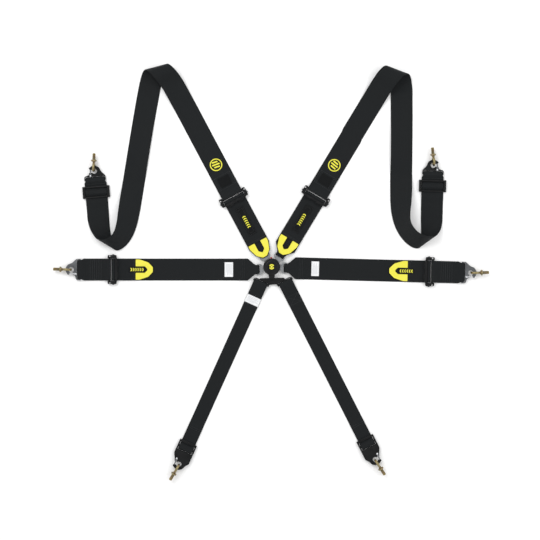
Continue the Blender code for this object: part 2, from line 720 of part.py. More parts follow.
def build_shoulder(prefix, arm, end_arm, adjuster, tail_end, tip, top_fold, low_fold, slider, hook_bar,
                   side, yaw, meshes):
    add(f"{prefix}_tongue", meshes["tongue"], "bright_steel", arm.place(0))
    lower = adjusted_belt(arm, adjuster, tail_end)
    add(f"{prefix}_lower_belt", ribbon(f"{prefix}_lower_belt", lower), "webbing")
    add_adjuster(prefix, arm, adjuster, meshes)
    loop = pull_loop_mesh(tail_end - tip, 0.036)
    place = arm.place(tail_end - GAP, 0.0066, -8.0)
    add(f"{prefix}_pull_loop", loop, "pull_webbing", place)

    fx, fz = FIXED_HALF
    near = wrap_bar(adjuster + FIXED_X, FIXED_Z, fx, fz, WRAP, True)
    corners = [(adjuster + 0.086, FIRST, 0), (adjuster + 0.024, FIRST, 0.01), (adjuster + 0.016, near[0][1], 0.01)]
    corners += near + [(adjuster + 0.014, near[1][1], 0.01), (adjuster + 0.034, SECOND, 0.01)]
    corners += [(adjuster + 0.092, SECOND, 0.01), (adjuster + 0.104, FIRST, 0.01)]
    corners += [(adjuster + 0.236, FIRST, 0)]
    stations = run(arm, corners, [(0, WIDE)])

    folded = soft(top_fold + low_fold, WIDE, 4)
    stations += folded

    far = wrap_bar(hook_bar, HOOK_BAR_Z, HOOK_BAR_HALF, PLATE_T / 2, HOOK_WRAP, False)
    start = end_arm.at(*low_fold[-1][0][:2]) + 0.012
    over, under = 0.0075, 0.0049
    corners = [(start, FIRST, 0), (start + 0.020, SECOND, 0.01), (slider - 0.0130, SECOND, 0.003),
               (slider - 0.0045, over, 0.003), (slider + 0.0045, over, 0.003), (slider + 0.0130, SECOND, 0.003),
               (slider + 0.024, SECOND, 0.004), (hook_bar - 0.005, far[1][1], 0.004)] + far[::-1]
    corners += [(hook_bar - 0.007, far[0][1], 0.004), (hook_bar - 0.013, FIRST, 0.004),
                (slider + 0.0130, FIRST, 0.003), (slider + 0.0045, under, 0.003), (slider - 0.0045, under, 0.003),
                (slider - 0.0130, FIRST, 0.003), (slider - 0.034, FIRST, 0)]
    widths = [(hook_bar - 0.012, WIDE), (hook_bar - 0.003, HOOK_W)]
    stations += run(end_arm, corners, widths)
    add(f"{prefix}_upper_belt", ribbon(f"{prefix}_upper_belt", stations), "webbing")
    add(f"{prefix}_slider", meshes["slider"], "black_steel", end_arm.place(slider))
    add_hook(prefix, end_arm, hook_bar, HOOK_PLATE_EYE, HOOK_BAR_Z, HOOK_PLATE_PITCH, side,
             meshes[f"hook{side}"], meshes, yaw)


def t_bar_mesh(left, right, left_bar, right_bar):
    """A neck for the buckle and two slotted arms, each square to its belt."""
    half = BLADE[1] / 2
    neck = rounded([(-half, -BLADE[0]), (-half, -0.0385), (-0.0400, -0.0390), (-0.0410, -0.0435),
                    (-0.0111, -0.0575), (-0.0090, -0.0625), (0.0170, -0.0600), (0.0221, -0.0561),
                    (0.0459, -0.0442), (0.0430, -0.0375), (half, -0.0385), (half, -BLADE[0])],
                   [0.002, 0.004, 0.002, 0, 0, 0, 0, 0, 0, 0.002, 0.004, 0.002])
    latch = rectangle(-0.0035, 0.0035, -0.0240, -0.0200)
    body = plate("neck", neck, [latch], TONGUE[0] + 0.0001, TONGUE[1] - 0.0001)
    arms = []
    for name, arm, bar, way in (("left", left, left_bar, 1), ("right", right, right_bar, -1)):
        start, end = bar - 0.0105, bar + TONGUE_BAR_HALF
        rail = rounded([(start, -0.0280 * way), (end, -0.0280 * way), (end, 0.030 * way), (start, 0.030 * way)],
                       [0.009, 0.002, 0, 0])
        slot = rounded([(bar - 0.0070, -0.0254 * way), (bar - TONGUE_BAR_HALF, -0.0254 * way),
                        (bar - TONGUE_BAR_HALF, 0.0254 * way), (bar - 0.0070, 0.0254 * way)], [0.003, 0, 0, 0])
        mesh = plate(f"t_bar_{name}", rail, [slot], *TONGUE)
        mesh.transform(arm.place(0))
        arms.append(mesh)
    arms[1].transform(Matrix.Translation((0, 0, 0.00005)))
    return joined("t_bar", arms[0], [arms[1], body])


def build_crotch_belt(prefix, arm, bar, end_bar, side, yaw, meshes):
    low, high = TONGUE_Z - PLATE_T / 2 - WRAP, TONGUE_Z + PLATE_T / 2 + WRAP
    turn = bar - TONGUE_BAR_HALF - WRAP
    over = END_PLATE_Z + PLATE_T / 2 + 0.0020
    corners = [(0.150, FIRST, 0), (bar + 0.022, FIRST, 0.01), (bar + 0.010, low, 0.01), (turn, low, 0.0025),
               (turn, high, 0.0025), (bar + 0.008, high, 0.01), (bar + 0.050, SECOND, 0.01),
               (0.156, SECOND, 0.01), (0.168, FIRST, 0.01), (end_bar - 0.092, FIRST, 0.01),
               (end_bar - 0.080, SECOND, 0.01), (end_bar - 0.0140, SECOND, 0.003),
               (end_bar - 0.0045, over, 0.003), (end_bar + 0.0090, over, 0.0045),
               (end_bar + 0.0090, FIRST, 0.0045), (end_bar - 0.074, FIRST, 0)]
    add(f"{prefix}_belt", ribbon(f"{prefix}_belt", run(arm, corners, [(0, NARROW)])), "webbing")
    add_hook(prefix, arm, end_bar, END_PLATE_EYE, END_PLATE_Z, END_PLATE_PITCH, side,
             meshes[f"end{side}"], meshes, yaw)


def end_plate_mesh(side):
    """A three-bar slide and a hook in one plate, for the crotch belts."""
    outline = hook_outline(-0.0225, 0.0315, 0.0290, END_PLATE_EYE - 0.0130, END_PLATE_EYE, side)
    slots = [rectangle(-0.0155, -0.0035, -0.0265, 0.0265, 0.002), rectangle(0.0035, 0.0125, -0.0265, 0.0265, 0.002)]
    return hook_plate_mesh("end_plate", outline, slots, END_PLATE_EYE, side)


def shared_meshes():
    made = {"tongue": tongue_mesh(), "adjuster": adjuster_mesh(), "lock_bar": lock_bar_mesh(),
            "slider": slider_mesh(), "eyebolt": eyebolt_mesh()}
    slot = rectangle(HOOK_BAR_HALF, HOOK_BAR_HALF + 0.0070, -0.0338, 0.0338, 0.002)
    for side in (1, -1):
        outline = hook_outline(-HOOK_BAR_HALF, 0.0368, 0.0115, 0.0115, HOOK_PLATE_EYE, side)
        made[f"hook{side}"] = hook_plate_mesh("hook_plate", outline, [slot], HOOK_PLATE_EYE, side)
        made[f"end{side}"] = end_plate_mesh(side)
        made[f"gate{side}"] = gate_mesh(side)
    return made


def main():
    clear_scene()
    shoulder_left = Arm(118.1, (-0.104, 0.187))
    shoulder_right = Arm(59.0, (0.118, 0.187))
    lap_left = Arm(180.0, (-0.300, -0.0095))
    lap_right = Arm(-1.46, (0.350, -0.0118))
    crotch_left = Arm(245.7, (-0.050, -0.082))
    crotch_right = Arm(-63.1, (0.062, -0.082))
    crotch_neck = Arm(270.0, (0.0, -0.050))
    meshes = shared_meshes()

    build_buckle([shoulder_left, shoulder_right, lap_left, lap_right, crotch_neck])
    build_lap("left_lap", lap_left, 0.549, 0.468, 0.408, 0.660, -1, -2, meshes)
    build_lap("right_lap", lap_right, 0.545, 0.468, 0.404, 0.656, 1, 3, meshes)

    left_bar, right_bar = 0.066, 0.069
    add("t_bar", t_bar_mesh(crotch_left, crotch_right, left_bar, right_bar), "black_steel")
    build_crotch_belt("left_crotch", crotch_left, left_bar, 0.690, 1, -6, meshes)
    build_crotch_belt("right_crotch", crotch_right, right_bar, 0.692, -1, 6, meshes)

    left_top = [((-0.2480, 0.4570, FIRST), 28.1, 0), ((-0.3080, 0.5690, 0.0050), 28.1, 0),
                ((-0.3480, 0.6380, 0.0250), 26.5, 0), ((-0.3695, 0.6640, 0.0440), 22.5, 0),
                ((-0.3840, 0.6775, 0.0455), 18.5, 0), ((-0.3950, 0.6835, 0.0310), 14.8, 0),
                ((-0.4035, 0.6780, 0.0155), 11, 0), ((-0.4105, 0.6600, 0.0060), 6, 0),
                ((-0.4170, 0.6330, 0.0020), 0, 0), ((-0.4260, 0.5850, FIRST), -9, 0)]
    left_low = [((-0.4740, 0.2970, FIRST), -9, 0), ((-0.4835, 0.2370, 0.0055), -8.5, 6),
                ((-0.4908, 0.1850, 0.0145), -7.5, 19), ((-0.4980, 0.1430, 0.0215), -11, 30),
                ((-0.5090, 0.1110, 0.0265), -20, 38), ((-0.5250, 0.0885, 0.0285), -32, 42),
                ((-0.5440, 0.0765, 0.0290), -36, 39), ((-0.5640, 0.0755, 0.0230), -33, 28),
                ((-0.5780, 0.0925, 0.0100), -26.5, 12), ((-0.5890, 0.1190, 0.0035), -18, 3),
                ((-0.5955, 0.1520, FIRST), -7, 0), ((-0.5985, 0.1900, FIRST), 4.5, 0)]
    left_end = Arm(94.5, (-0.5965, 0.165))
    build_shoulder("left_shoulder", shoulder_left, left_end, 0.273, 0.098, 0.040, left_top, left_low,
                   left_end.at(-0.606, 0.257), left_end.at(-0.607, 0.300), -1, -6, meshes)

    right_top = [((0.2780, 0.4570, FIRST), -31, 0), ((0.3460, 0.5690, 0.005), -31, 0),
                 ((0.3780, 0.6210, 0.022), -30.5, 0), ((0.4000, 0.6520, 0.041), -28, 0),
                 ((0.4180, 0.6690, 0.0440), -24.5, 0), ((0.4320, 0.6725, 0.0300), -20.5, 0),
                 ((0.4400, 0.6640, 0.0150), -15.5, 0), ((0.4440, 0.6440, 0.0060), -10, 0),
                 ((0.4470, 0.6180, 0.0020), -4.5, 0), ((0.4475, 0.5730, FIRST), 0, 0)]
    right_low = [((0.4460, 0.3200, FIRST), 0, 0), ((0.4450, 0.2620, 0.0085), 0, -11),
                 ((0.4433, 0.2150, 0.0180), 2, -25), ((0.4430, 0.1800, 0.0260), 7, -39),
                 ((0.4490, 0.1460, 0.0298), 18, -48), ((0.4655, 0.1160, 0.0300), 36, -49),
                 ((0.4880, 0.0945, 0.0298), 44, -47), ((0.5110, 0.0845, 0.0285), 43.5, -41),
                 ((0.5335, 0.0860, 0.0210), 38, -30), ((0.5450, 0.1045, 0.0095), 30, -14),
                 ((0.5500, 0.1340, 0.0035), 18, -4), ((0.5512, 0.1700, FIRST), 6, 0),
                 ((0.5519, 0.2080, FIRST), -1.3, 0)]
    right_end = Arm(88.7, (0.5510, 0.170))
    build_shoulder("right_shoulder", shoulder_right, right_end, 0.2875, 0.1135, 0.053, right_top, right_low,
                   right_end.at(0.554, 0.278), right_end.at(0.554, 0.320), 1, 6, meshes)


main()
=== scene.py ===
"""Looks of a six-point racing harness laid out on a pale floor, seen from straight above."""

import math

import bmesh
import bpy
from mathutils import Matrix, Vector


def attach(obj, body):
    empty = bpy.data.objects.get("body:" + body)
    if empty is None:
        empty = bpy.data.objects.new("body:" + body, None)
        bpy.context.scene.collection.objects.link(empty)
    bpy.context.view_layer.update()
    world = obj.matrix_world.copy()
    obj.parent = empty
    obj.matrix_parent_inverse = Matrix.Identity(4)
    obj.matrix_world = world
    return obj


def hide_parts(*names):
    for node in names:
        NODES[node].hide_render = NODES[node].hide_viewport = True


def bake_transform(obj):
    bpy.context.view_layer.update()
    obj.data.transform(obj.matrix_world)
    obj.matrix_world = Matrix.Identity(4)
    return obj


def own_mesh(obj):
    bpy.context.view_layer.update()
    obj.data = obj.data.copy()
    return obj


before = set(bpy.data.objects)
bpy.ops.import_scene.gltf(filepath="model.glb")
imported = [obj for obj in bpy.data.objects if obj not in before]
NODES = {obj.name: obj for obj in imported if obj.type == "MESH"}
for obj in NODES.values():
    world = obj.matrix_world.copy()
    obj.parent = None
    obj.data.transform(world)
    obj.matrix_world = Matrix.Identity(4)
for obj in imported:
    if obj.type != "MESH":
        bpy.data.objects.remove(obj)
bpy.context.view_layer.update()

GAP = 0.0003
T = 0.0022  # webbing thickness
WIDE = 0.0755
NARROW = 0.050
FIRST = T / 2  # middle height of webbing on the floor
SECOND = FIRST + T + GAP
THIRD = SECOND + T + GAP
TOP1 = FIRST + T / 2
TOP2 = SECOND + T / 2
WRAP = 0.0017
TONGUE = (0.0065, 0.0095)
TONGUE_Z = sum(TONGUE) / 2
TONGUE_BAR = 0.0475
TONGUE_BAR_HALF = 0.0025
NECK_W = 0.0305
PLATE_T = 0.003
LOCK_X = -0.0040
LOCK_Z = 0.0057
LOCK_R = 0.0032
FIXED_X = 0.0098
FIXED_Z = 0.0060
FIXED_HALF = (0.00275, 0.0020)
HOOK_BAR_HALF = 0.003
HOOK_BAR_Z = 0.0062
HOOK_WRAP = 0.0019
HOOK_SLACK = 0.0031  # how far the loop stands out to fill the plate's slot
HOOK_W = 0.066
END_PLATE_Z = 0.0080
HOOK_EYE = 0.0290
END_EYE = 0.0595
EYE_RING = 0.0130
EYE_TUBE = 0.0040
SHANK_R = 0.0055
SHANK_START, SHANK_END = 0.0249, 0.0468
THREAD_PITCH = 0.00127
SEAM_HALF = 0.034  # half length of a seam across wide webbing
TONGUE_SEAMS = (0.0945, 0.1000, 0.1055)
COVER_T = 0.0008  # a mark's sewn cover
PANEL_T = 0.0009  # the shoulder tail's stitched panel
BADGE_T = 0.0006
LABEL_T = 0.0005
BUTTON_SPRING = (-0.0015, 0.0222, 0.0081)
BUTTON_SPRING_R = 0.0016
GRIP_LOW, GRIP_HIGH = 0.0176, 0.0226  # heights of the knob's grip ribs
VIEW_ACROSS = 1.858  # width of the view, at the height the camera is aimed at
LENS, SENSOR = 80, 36  # millimetres
FLOOR_HALF = 8
FLOOR_Z = -0.0002


# ---------------------------------------------------------------- materials


class Shade:
    """A material under construction."""

    def __init__(self, name, colour, roughness, metallic=0.0):
        self.mat = bpy.data.materials.new(name)
        self.mat.use_nodes = True
        self.tree = self.mat.node_tree
        self.shader = self.tree.nodes["Principled BSDF"]
        self.set("Base Color", (*colour, 1))
        self.set("Roughness", roughness)
        self.set("Metallic", metallic)

    def set(self, socket, value):
        self.shader.inputs[socket].default_value = value

    def node(self, kind, **values):
        made = self.tree.nodes.new(kind)
        for key, value in values.items():
            setattr(made, key, value)
        return made

    def join(self, a, b):
        self.tree.links.new(a, b)

    def math(self, operation, a, b=0.0):
        made = self.node("ShaderNodeMath", operation=operation)
        for socket, value in zip(made.inputs, (a, b)):
            if isinstance(value, (int, float)):
                socket.default_value = value
            else:
                self.join(value, socket)
        return made.outputs[0]

    def noise(self, scale, detail=3.0, stretch=(1, 1, 1)):
        place = self.node("ShaderNodeTexCoord")
        mapped = self.node("ShaderNodeMapping")
        mapped.inputs["Scale"].default_value = stretch
        self.join(place.outputs["Object"], mapped.inputs["Vector"])
        made = self.node("ShaderNodeTexNoise")
        made.inputs["Scale"].default_value = scale
        made.inputs["Detail"].default_value = detail
        self.join(mapped.outputs["Vector"], made.inputs["Vector"])
        return made.outputs["Fac"]

    def ramp(self, value, low, high, out_low=0.0, out_high=1.0):
        made = self.node("ShaderNodeMapRange")
        self.join(value, made.inputs["Value"])
        for key, number in zip(("From Min", "From Max", "To Min", "To Max"), (low, high, out_low, out_high)):
            made.inputs[key].default_value = number
        return made.outputs["Result"]

    def blend(self, share, a, b):
        made = self.node("ShaderNodeMix", data_type="RGBA")
        self.join(share, made.inputs[0])
        for socket, value in ((made.inputs[6], a), (made.inputs[7], b)):
            if isinstance(value, tuple):
                socket.default_value = (*value, 1)
            else:
                self.join(value, socket)
        return made.outputs[2]

    def colour(self, socket):
        self.join(socket, self.shader.inputs["Base Color"])

    def rough(self, socket):
        self.join(socket, self.shader.inputs["Roughness"])

    def bump(self, heights):
        """heights is a list of (height socket, distance in metres, strength)."""
        normal = None
        for height, distance, strength in heights:
            made = self.node("ShaderNodeBump")
            made.inputs["Strength"].default_value = strength
            made.inputs["Distance"].default_value = distance
            self.join(height, made.inputs["Height"])
            if normal is not None:
                self.join(normal, made.inputs["Normal"])
            normal = made.outputs["Normal"]
        self.join(normal, self.shader.inputs["Normal"])


def webbing(name, dark, light, roughness, sheen, cell=0.0052, pitch=0.0017, relief=0.00022):
    """Woven webbing: zigzag ridges over fine lengthwise yarns. The map is in metres: across, along."""
    s = Shade(name, dark, roughness)
    uv = s.node("ShaderNodeUVMap", uv_map="weave")
    parts = s.node("ShaderNodeSeparateXYZ")
    s.join(uv.outputs["UV"], parts.inputs["Vector"])
    across, along = parts.outputs["X"], parts.outputs["Y"]
    zig = s.math("PINGPONG", s.math("DIVIDE", across, cell), 1.0)
    phase = s.math("ADD", s.math("DIVIDE", along, pitch), s.math("MULTIPLY", zig, 1.6))
    ridge = s.math("SINE", s.math("MULTIPLY", phase, 2 * math.pi))
    yarn = s.math("SINE", s.math("MULTIPLY", across, 2 * math.pi / 0.0013))
    height = s.math("ADD", s.math("MULTIPLY", ridge, 0.65), s.math("MULTIPLY", yarn, 0.35))
    patch = s.noise(9.0, 4.0)
    lint = s.ramp(s.noise(900.0, 2.0), 0.66, 0.78)
    # the colour is lighter on the weave's raised ridges and darker in its grooves, which is painted shade,
    # mixed with broad patches of random tone
    groove_shade_and_patch_mix = s.math("ADD", s.ramp(height, -1.0, 1.0, 0.0, 0.55), s.ramp(patch, 0.35, 0.65, 0.0, 0.45))
    mixed_colour = s.blend(groove_shade_and_patch_mix, dark, light)
    s.colour(s.blend(s.math("MULTIPLY", lint, 0.10), mixed_colour, tuple(min(1.0, c * 3 + 0.01) for c in light)))
    s.rough(s.ramp(patch, 0.3, 0.7, roughness - 0.06, roughness + 0.08))
    s.set("Sheen Weight", sheen)
    s.set("Sheen Roughness", 0.45)
    s.set("Specular IOR Level", 0.20)
    ripple = s.noise(14.0, 2.0)
    s.bump([(ripple, 0.004, 0.35), (height, relief, 0.8)])
    return s.mat


def coated(name, colour, roughness, metallic, peel=0.00008, mixed_colour=None, shine=0.5):
    """Powder coat or zinc plate: a fine orange peel and patches of a slightly different gloss."""
    s = Shade(name, colour, roughness, metallic)
    fine = s.noise(700.0, 2.0)
    broad = s.noise(45.0, 4.0)
    s.rough(s.ramp(broad, 0.3, 0.7, roughness - 0.07, roughness + 0.10))
    s.colour(s.blend(s.ramp(broad, 0.42, 0.70), colour, mixed_colour or tuple(c * 1.35 for c in colour)))
    s.set("Specular IOR Level", shine)
    s.bump([(fine, peel, 0.5)])
    return s.mat


def brushed(name, colour, roughness):
    s = Shade(name, colour, roughness, 1.0)
    grain = s.noise(260.0, 3.0, (1, 12, 1))
    stain = s.noise(60.0, 3.0)
    s.rough(s.ramp(grain, 0.3, 0.7, roughness - 0.06, roughness + 0.14))
    s.colour(s.blend(s.ramp(stain, 0.45, 0.75), colour, tuple(c * 0.72 for c in colour)))
    s.bump([(grain, 0.00004, 0.5)])
    return s.mat


def passivated(name):
    """Yellow zinc passivation, which drifts between gold, straw and a faint pink."""
    s = Shade(name, (0.30, 0.225, 0.09), 0.30, 1.0)
    drift = s.noise(55.0, 3.0)
    other = s.noise(90.0, 2.0)
    gold = s.blend(s.ramp(drift, 0.38, 0.62), (0.33, 0.25, 0.10), (0.25, 0.225, 0.13))
    s.colour(s.blend(s.ramp(other, 0.52, 0.70, 0.0, 0.6), gold, (0.28, 0.18, 0.13)))
    s.rough(s.ramp(drift, 0.3, 0.7, 0.24, 0.42))
    s.bump([(s.noise(800.0, 2.0), 0.00005, 0.4)])
    return s.mat


BELT = webbing("belt_weave", (0.0040, 0.0052, 0.0060), (0.0082, 0.0100, 0.0112), 0.70, 0.02)
SEWN = webbing("sewn_cover_weave", (0.0022, 0.0027, 0.0031), (0.0050, 0.0058, 0.0064), 0.82, 0.01, 0.0026,
               0.0011)
PULL = webbing("pull_loop_weave", (0.80, 0.74, 0.045), (0.88, 0.82, 0.12), 0.70, 0.25, 0.0036, 0.0014)
THREAD = coated("black_thread", (0.020, 0.022, 0.024), 0.50, 0.0, 0.00003)
YELLOW_THREAD = coated("yellow_thread", (0.72, 0.66, 0.05), 0.62, 0.0, 0.00003)
MARK = coated("yellow_embroidery", (0.80, 0.76, 0.05), 0.62, 0.0, 0.00010, (0.70, 0.66, 0.04))
LABEL = coated("label_cloth", (0.82, 0.83, 0.84), 0.55, 0.0, 0.00006, (0.76, 0.77, 0.79))
PRINT = coated("label_print", (0.42, 0.43, 0.45), 0.6, 0.0, 0.00002)
BLACK = coated("black_coat", (0.0040, 0.0044, 0.0047), 0.36, 0.1, 0.00009, (0.0080, 0.0084, 0.0088), 0.20)
EDGE = brushed("worn_edge", (0.17, 0.175, 0.18), 0.36)
DULL = brushed("dull_edge", (0.030, 0.031, 0.033), 0.38)
STEEL = brushed("tongue_steel", (0.30, 0.31, 0.32), 0.28)
GREY = coated("grey_coat", (0.085, 0.090, 0.096), 0.38, 0.55, 0.00007, (0.13, 0.135, 0.142))
BRIGHT = brushed("bright_zinc", (0.62, 0.63, 0.65), 0.24)
GOLD = passivated("gold_zinc")
MOULD = coated("black_moulding", (0.0030, 0.0033, 0.0036), 0.38, 0.0, 0.00010, (0.0065, 0.0070, 0.0075), 0.24)
RED = coated("red_moulding", (0.46, 0.025, 0.025), 0.32, 0.0, 0.00005, (0.38, 0.02, 0.02))


# ---------------------------------------------------------------- building


class Arm:
    """A straight run of belt. s is the distance outward, measured from the buckle's centre."""

    def __init__(self, angle, through):
        turn = math.radians(angle)
        self.angle = turn
        self.out = Vector((math.cos(turn), math.sin(turn), 0))
        self.across = Vector((-math.sin(turn), math.cos(turn), 0))
        self.foot = self.across * Vector((*through, 0)).dot(self.across)

    def point(self, s, z, v=0.0):
        return self.foot + self.out * s + self.across * v + Vector((0, 0, z))

    def place(self, s, z=0.0, pitch=0.0, yaw=0.0):
        turn = Matrix.Rotation(self.angle + math.radians(yaw), 4, "Z")
        lift = Matrix.Rotation(-math.radians(pitch), 4, "Y")
        return Matrix.Translation(self.point(s, z)) @ turn @ lift

    def at(self, x, y):
        return Vector((x, y, 0)).dot(self.out)


def put(name, mesh, finishes, body, nodes=(), place=None):
    """A finished piece that rides on a CAD body and stands for these CAD nodes."""
    if not isinstance(finishes, (list, tuple)):
        finishes = [finishes]
    for finish in finishes:
        mesh.materials.append(finish)
    obj = bpy.data.objects.new(name, mesh)
    bpy.context.scene.collection.objects.link(obj)
    if place is not None:
        obj.matrix_world = place
    if nodes:
        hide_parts(*nodes)
    if body:
        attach(obj, body)
    even = obj.modifiers.new("even_shading", "WEIGHTED_NORMAL")
    even.keep_sharp = True
    even.weight = 100
    return obj


def mesh_of(bm, name, sharp=35, recalc=True):
    if recalc:
        bmesh.ops.recalc_face_normals(bm, faces=bm.faces)
    mesh = bpy.data.meshes.new(name)
    bm.to_mesh(mesh)
    bm.free()
    mesh.shade_smooth()
    mesh.set_sharp_from_angle(angle=math.radians(sharp))
    return mesh


def bevel_sharp(bm, width, segments=2, angle=28, index=0):
    sharp = [e for e in bm.edges if e.is_manifold and e.calc_face_angle(0) > math.radians(angle)]
    made = bmesh.ops.bevel(bm, geom=sharp, offset=width, segments=segments, profile=0.6, affect="EDGES",
                           clamp_overlap=False)
    if index:
        for face in made["faces"]:
            face.material_index = index


def refined(node, body, width, finishes, segments=2):
    """A CAD node's shape with its edges rounded off; a second finish is for the worn edges."""
    bm = bmesh.new()
    bm.from_mesh(NODES[node].data)
    bmesh.ops.remove_doubles(bm, verts=bm.verts, dist=2e-6)
    bmesh.ops.dissolve_limit(bm, angle_limit=math.radians(1.2), verts=bm.verts, edges=bm.edges)
    # a face around a hole is cut up first, because a bevel makes it fold over itself
    bmesh.ops.triangulate(bm, faces=[face for face in bm.faces if len(face.verts) > 4])
    bevel_sharp(bm, width, segments, 28, 1 if isinstance(finishes, list) else 0)
    mesh = mesh_of(bm, f"{node}_look", 40, recalc=False)
    return put(f"{node}_look", mesh, finishes, body, [node])


def arc(centre, radius, start, end, steps):
    angles = [math.radians(start + (end - start) * i / steps) for i in range(steps + 1)]
    return [(centre[0] + radius * math.cos(a), centre[1] + radius * math.sin(a)) for a in angles]


def circle(centre, radius, steps):
    return arc(centre, radius, 0, 360, steps)[:-1]


def rounded(corners, radii, step=10, closed=True):
    """A path through the corners, each turned into an arc of its radius."""
    count = len(corners)
    if not isinstance(radii, (list, tuple)):
        radii = [radii] * count
    path = []
    for i, corner in enumerate(corners):
        here = Vector(corner)
        if not closed and i in (0, count - 1):
            path.append(here)
            continue
        before = (Vector(corners[i - 1]) - here).normalized()
        after = (Vector(corners[(i + 1) % count]) - here).normalized()
        turn = math.pi - before.angle(after)
        if radii[i] <= 0 or turn < 0.02:
            path.append(here)
            continue
        reach = radii[i] * math.tan(turn / 2)
        start, end = here + before * reach, here + after * reach
        centre = here + (before + after).normalized() * (radii[i] / math.cos(turn / 2))
        pieces = max(1, math.ceil(math.degrees(turn) / step))
        for k in range(pieces + 1):
            spoke = (start - centre).normalized().slerp((end - centre).normalized(), k / pieces)
            path.append(centre + spoke * radii[i])
    thinned = []
    for point in path:
        if not thinned or (point - thinned[-1]).length > 2e-5:
            thinned.append(point)
    return thinned


def plate(name, outline, holes, z0, z1, bevel=0.0004, index=0):
    bm = bmesh.new()
    edges = []
    for loop in [outline, *holes]:
        verts = [bm.verts.new((p[0], p[1], z0)) for p in loop]
        edges += [bm.edges.new((a, b)) for a, b in zip(verts, verts[1:] + verts[:1])]
    bmesh.ops.triangle_fill(bm, use_beauty=True, edges=edges, normal=(0, 0, 1))
    raised = bmesh.ops.extrude_face_region(bm, geom=bm.faces[:])
    top = [v for v in raised["geom"] if isinstance(v, bmesh.types.BMVert)]
    bmesh.ops.translate(bm, verts=top, vec=(0, 0, z1 - z0))
    bmesh.ops.recalc_face_normals(bm, faces=bm.faces)
    bmesh.ops.dissolve_limit(bm, angle_limit=math.radians(0.5), verts=bm.verts, edges=bm.edges)
    if bevel:
        bevel_sharp(bm, bevel, 2, 40, index)
    weave = bm.loops.layers.uv.new("weave")
    for face in bm.faces:
        for loop in face.loops:
            loop[weave].uv = (loop.vert.co.y, loop.vert.co.x)
    return mesh_of(bm, name)


def turned(name, profile, steps=96, sharp=35):
    """A body of revolution about Z from an open or closed list of (radius, height)."""
    bm = bmesh.new()
    rings = []
    for radius, z in profile:
        if radius < 1e-7:
            rings.append([bm.verts.new((0, 0, z))])
        else:
            rings.append([bm.verts.new((x, y, z)) for x, y in circle((0, 0), radius, steps)])
    pairs = list(zip(rings, rings[1:]))
    if profile[0][0] > 1e-7:
        pairs.append((rings[-1], rings[0]))
    for low, high in pairs:
        for i in range(steps):
            j = (i + 1) % steps
            corners = [low[i % len(low)], low[j % len(low)], high[j % len(high)], high[i % len(high)]]
            unique = list(dict.fromkeys(corners))
            if len(unique) > 2:
                bm.faces.new(unique)
    return mesh_of(bm, name, sharp)


def wire(name, line, radius, sides=10):
    bm = bmesh.new()
    rings = []
    side = None
    for i, centre in enumerate(line):
        ahead = (line[min(i + 1, len(line) - 1)] - line[max(i - 1, 0)]).normalized()
        if side is None:
            side = ahead.orthogonal().normalized()
        side = (side - ahead * side.dot(ahead)).normalized()
        lift = side.cross(ahead)
        rings.append([bm.verts.new(centre + (side * math.cos(2 * math.pi * k / sides)
                                             + lift * math.sin(2 * math.pi * k / sides)) * radius)
                      for k in range(sides)])
    for low, high in zip(rings, rings[1:]):
        for i in range(sides):
            j = (i + 1) % sides
            bm.faces.new((low[i], low[j], high[j], high[i]))
    bm.faces.new(rings[0][::-1])
    bm.faces.new(rings[-1])
    return mesh_of(bm, name)


# ---------------------------------------------------------------- webbing


def helix(count, per_turn, place):
    """Points of a coil: place takes the angle and the share of the way along."""
    return [place(2 * math.pi * i / per_turn, i / count) for i in range(count + 1)]


def width_at(s, widths):
    if s <= widths[0][0]:
        return widths[0][1]
    for (s0, w0), (s1, w1) in zip(widths, widths[1:]):
        if s <= s1:
            return w0 + (w1 - w0) * (s - s0) / (s1 - s0)
    return widths[-1][1]


def run(arm, corners, widths, spacing=0.006):
    """Close stations along an arm from corners of (s, z, radius)."""
    path = rounded([c[:2] for c in corners], [c[2] for c in corners], 12, closed=False)
    split = []
    for a, b in zip(path, path[1:]):
        pieces = max(1, math.ceil((b - a).length / spacing))
        split += [a.lerp(b, k / pieces) for k in range(pieces)]
    split.append(path[-1])
    return [(arm.point(p.x, p.y), arm.across, width_at(p.x, widths)) for p in split]


def soft(stations, width, per_span):
    """A smooth run through a few stations of (middle, turn of the across line, tilt of it)."""
    keys = []
    for middle, turn, tilt in stations:
        turn, tilt = math.radians(turn), math.radians(tilt)
        across = Vector((-math.cos(turn) * math.cos(tilt), -math.sin(turn) * math.cos(tilt), math.sin(tilt)))
        keys.append((Vector(middle), across))
    steps = [(b[0] - a[0]).length for a, b in zip(keys, keys[1:])]

    def slope(i, part):
        if i == 0:
            return (keys[1][part] - keys[0][part]) / steps[0]
        if i == len(keys) - 1:
            return (keys[-1][part] - keys[-2][part]) / steps[-1]
        before = (keys[i][part] - keys[i - 1][part]) / steps[i - 1]
        after = (keys[i + 1][part] - keys[i][part]) / steps[i]
        return (before * steps[i] + after * steps[i - 1]) / (steps[i - 1] + steps[i])

    made = []
    for i, step in enumerate(steps):
        pieces = max(per_span, math.ceil(step / 0.008))
        for k in range(pieces):
            t = k / pieces
            share = (2 * t**3 - 3 * t**2 + 1, t**3 - 2 * t**2 + t, 3 * t**2 - 2 * t**3, t**3 - t**2)
            value = []
            for part in (0, 1):
                a, b = keys[i][part], keys[i + 1][part]
                m0, m1 = slope(i, part) * step, slope(i + 1, part) * step
                value.append(a * share[0] + m0 * share[1] + b * share[2] + m1 * share[3])
            middle, across = value[0], value[1].normalized()
            # the lower edge stays on the floor or above it
            middle.z = max(middle.z, FIRST + abs(across.z) * width / 2)
            made.append((middle, across, width))
    made.append((*keys[-1], width))
    return made


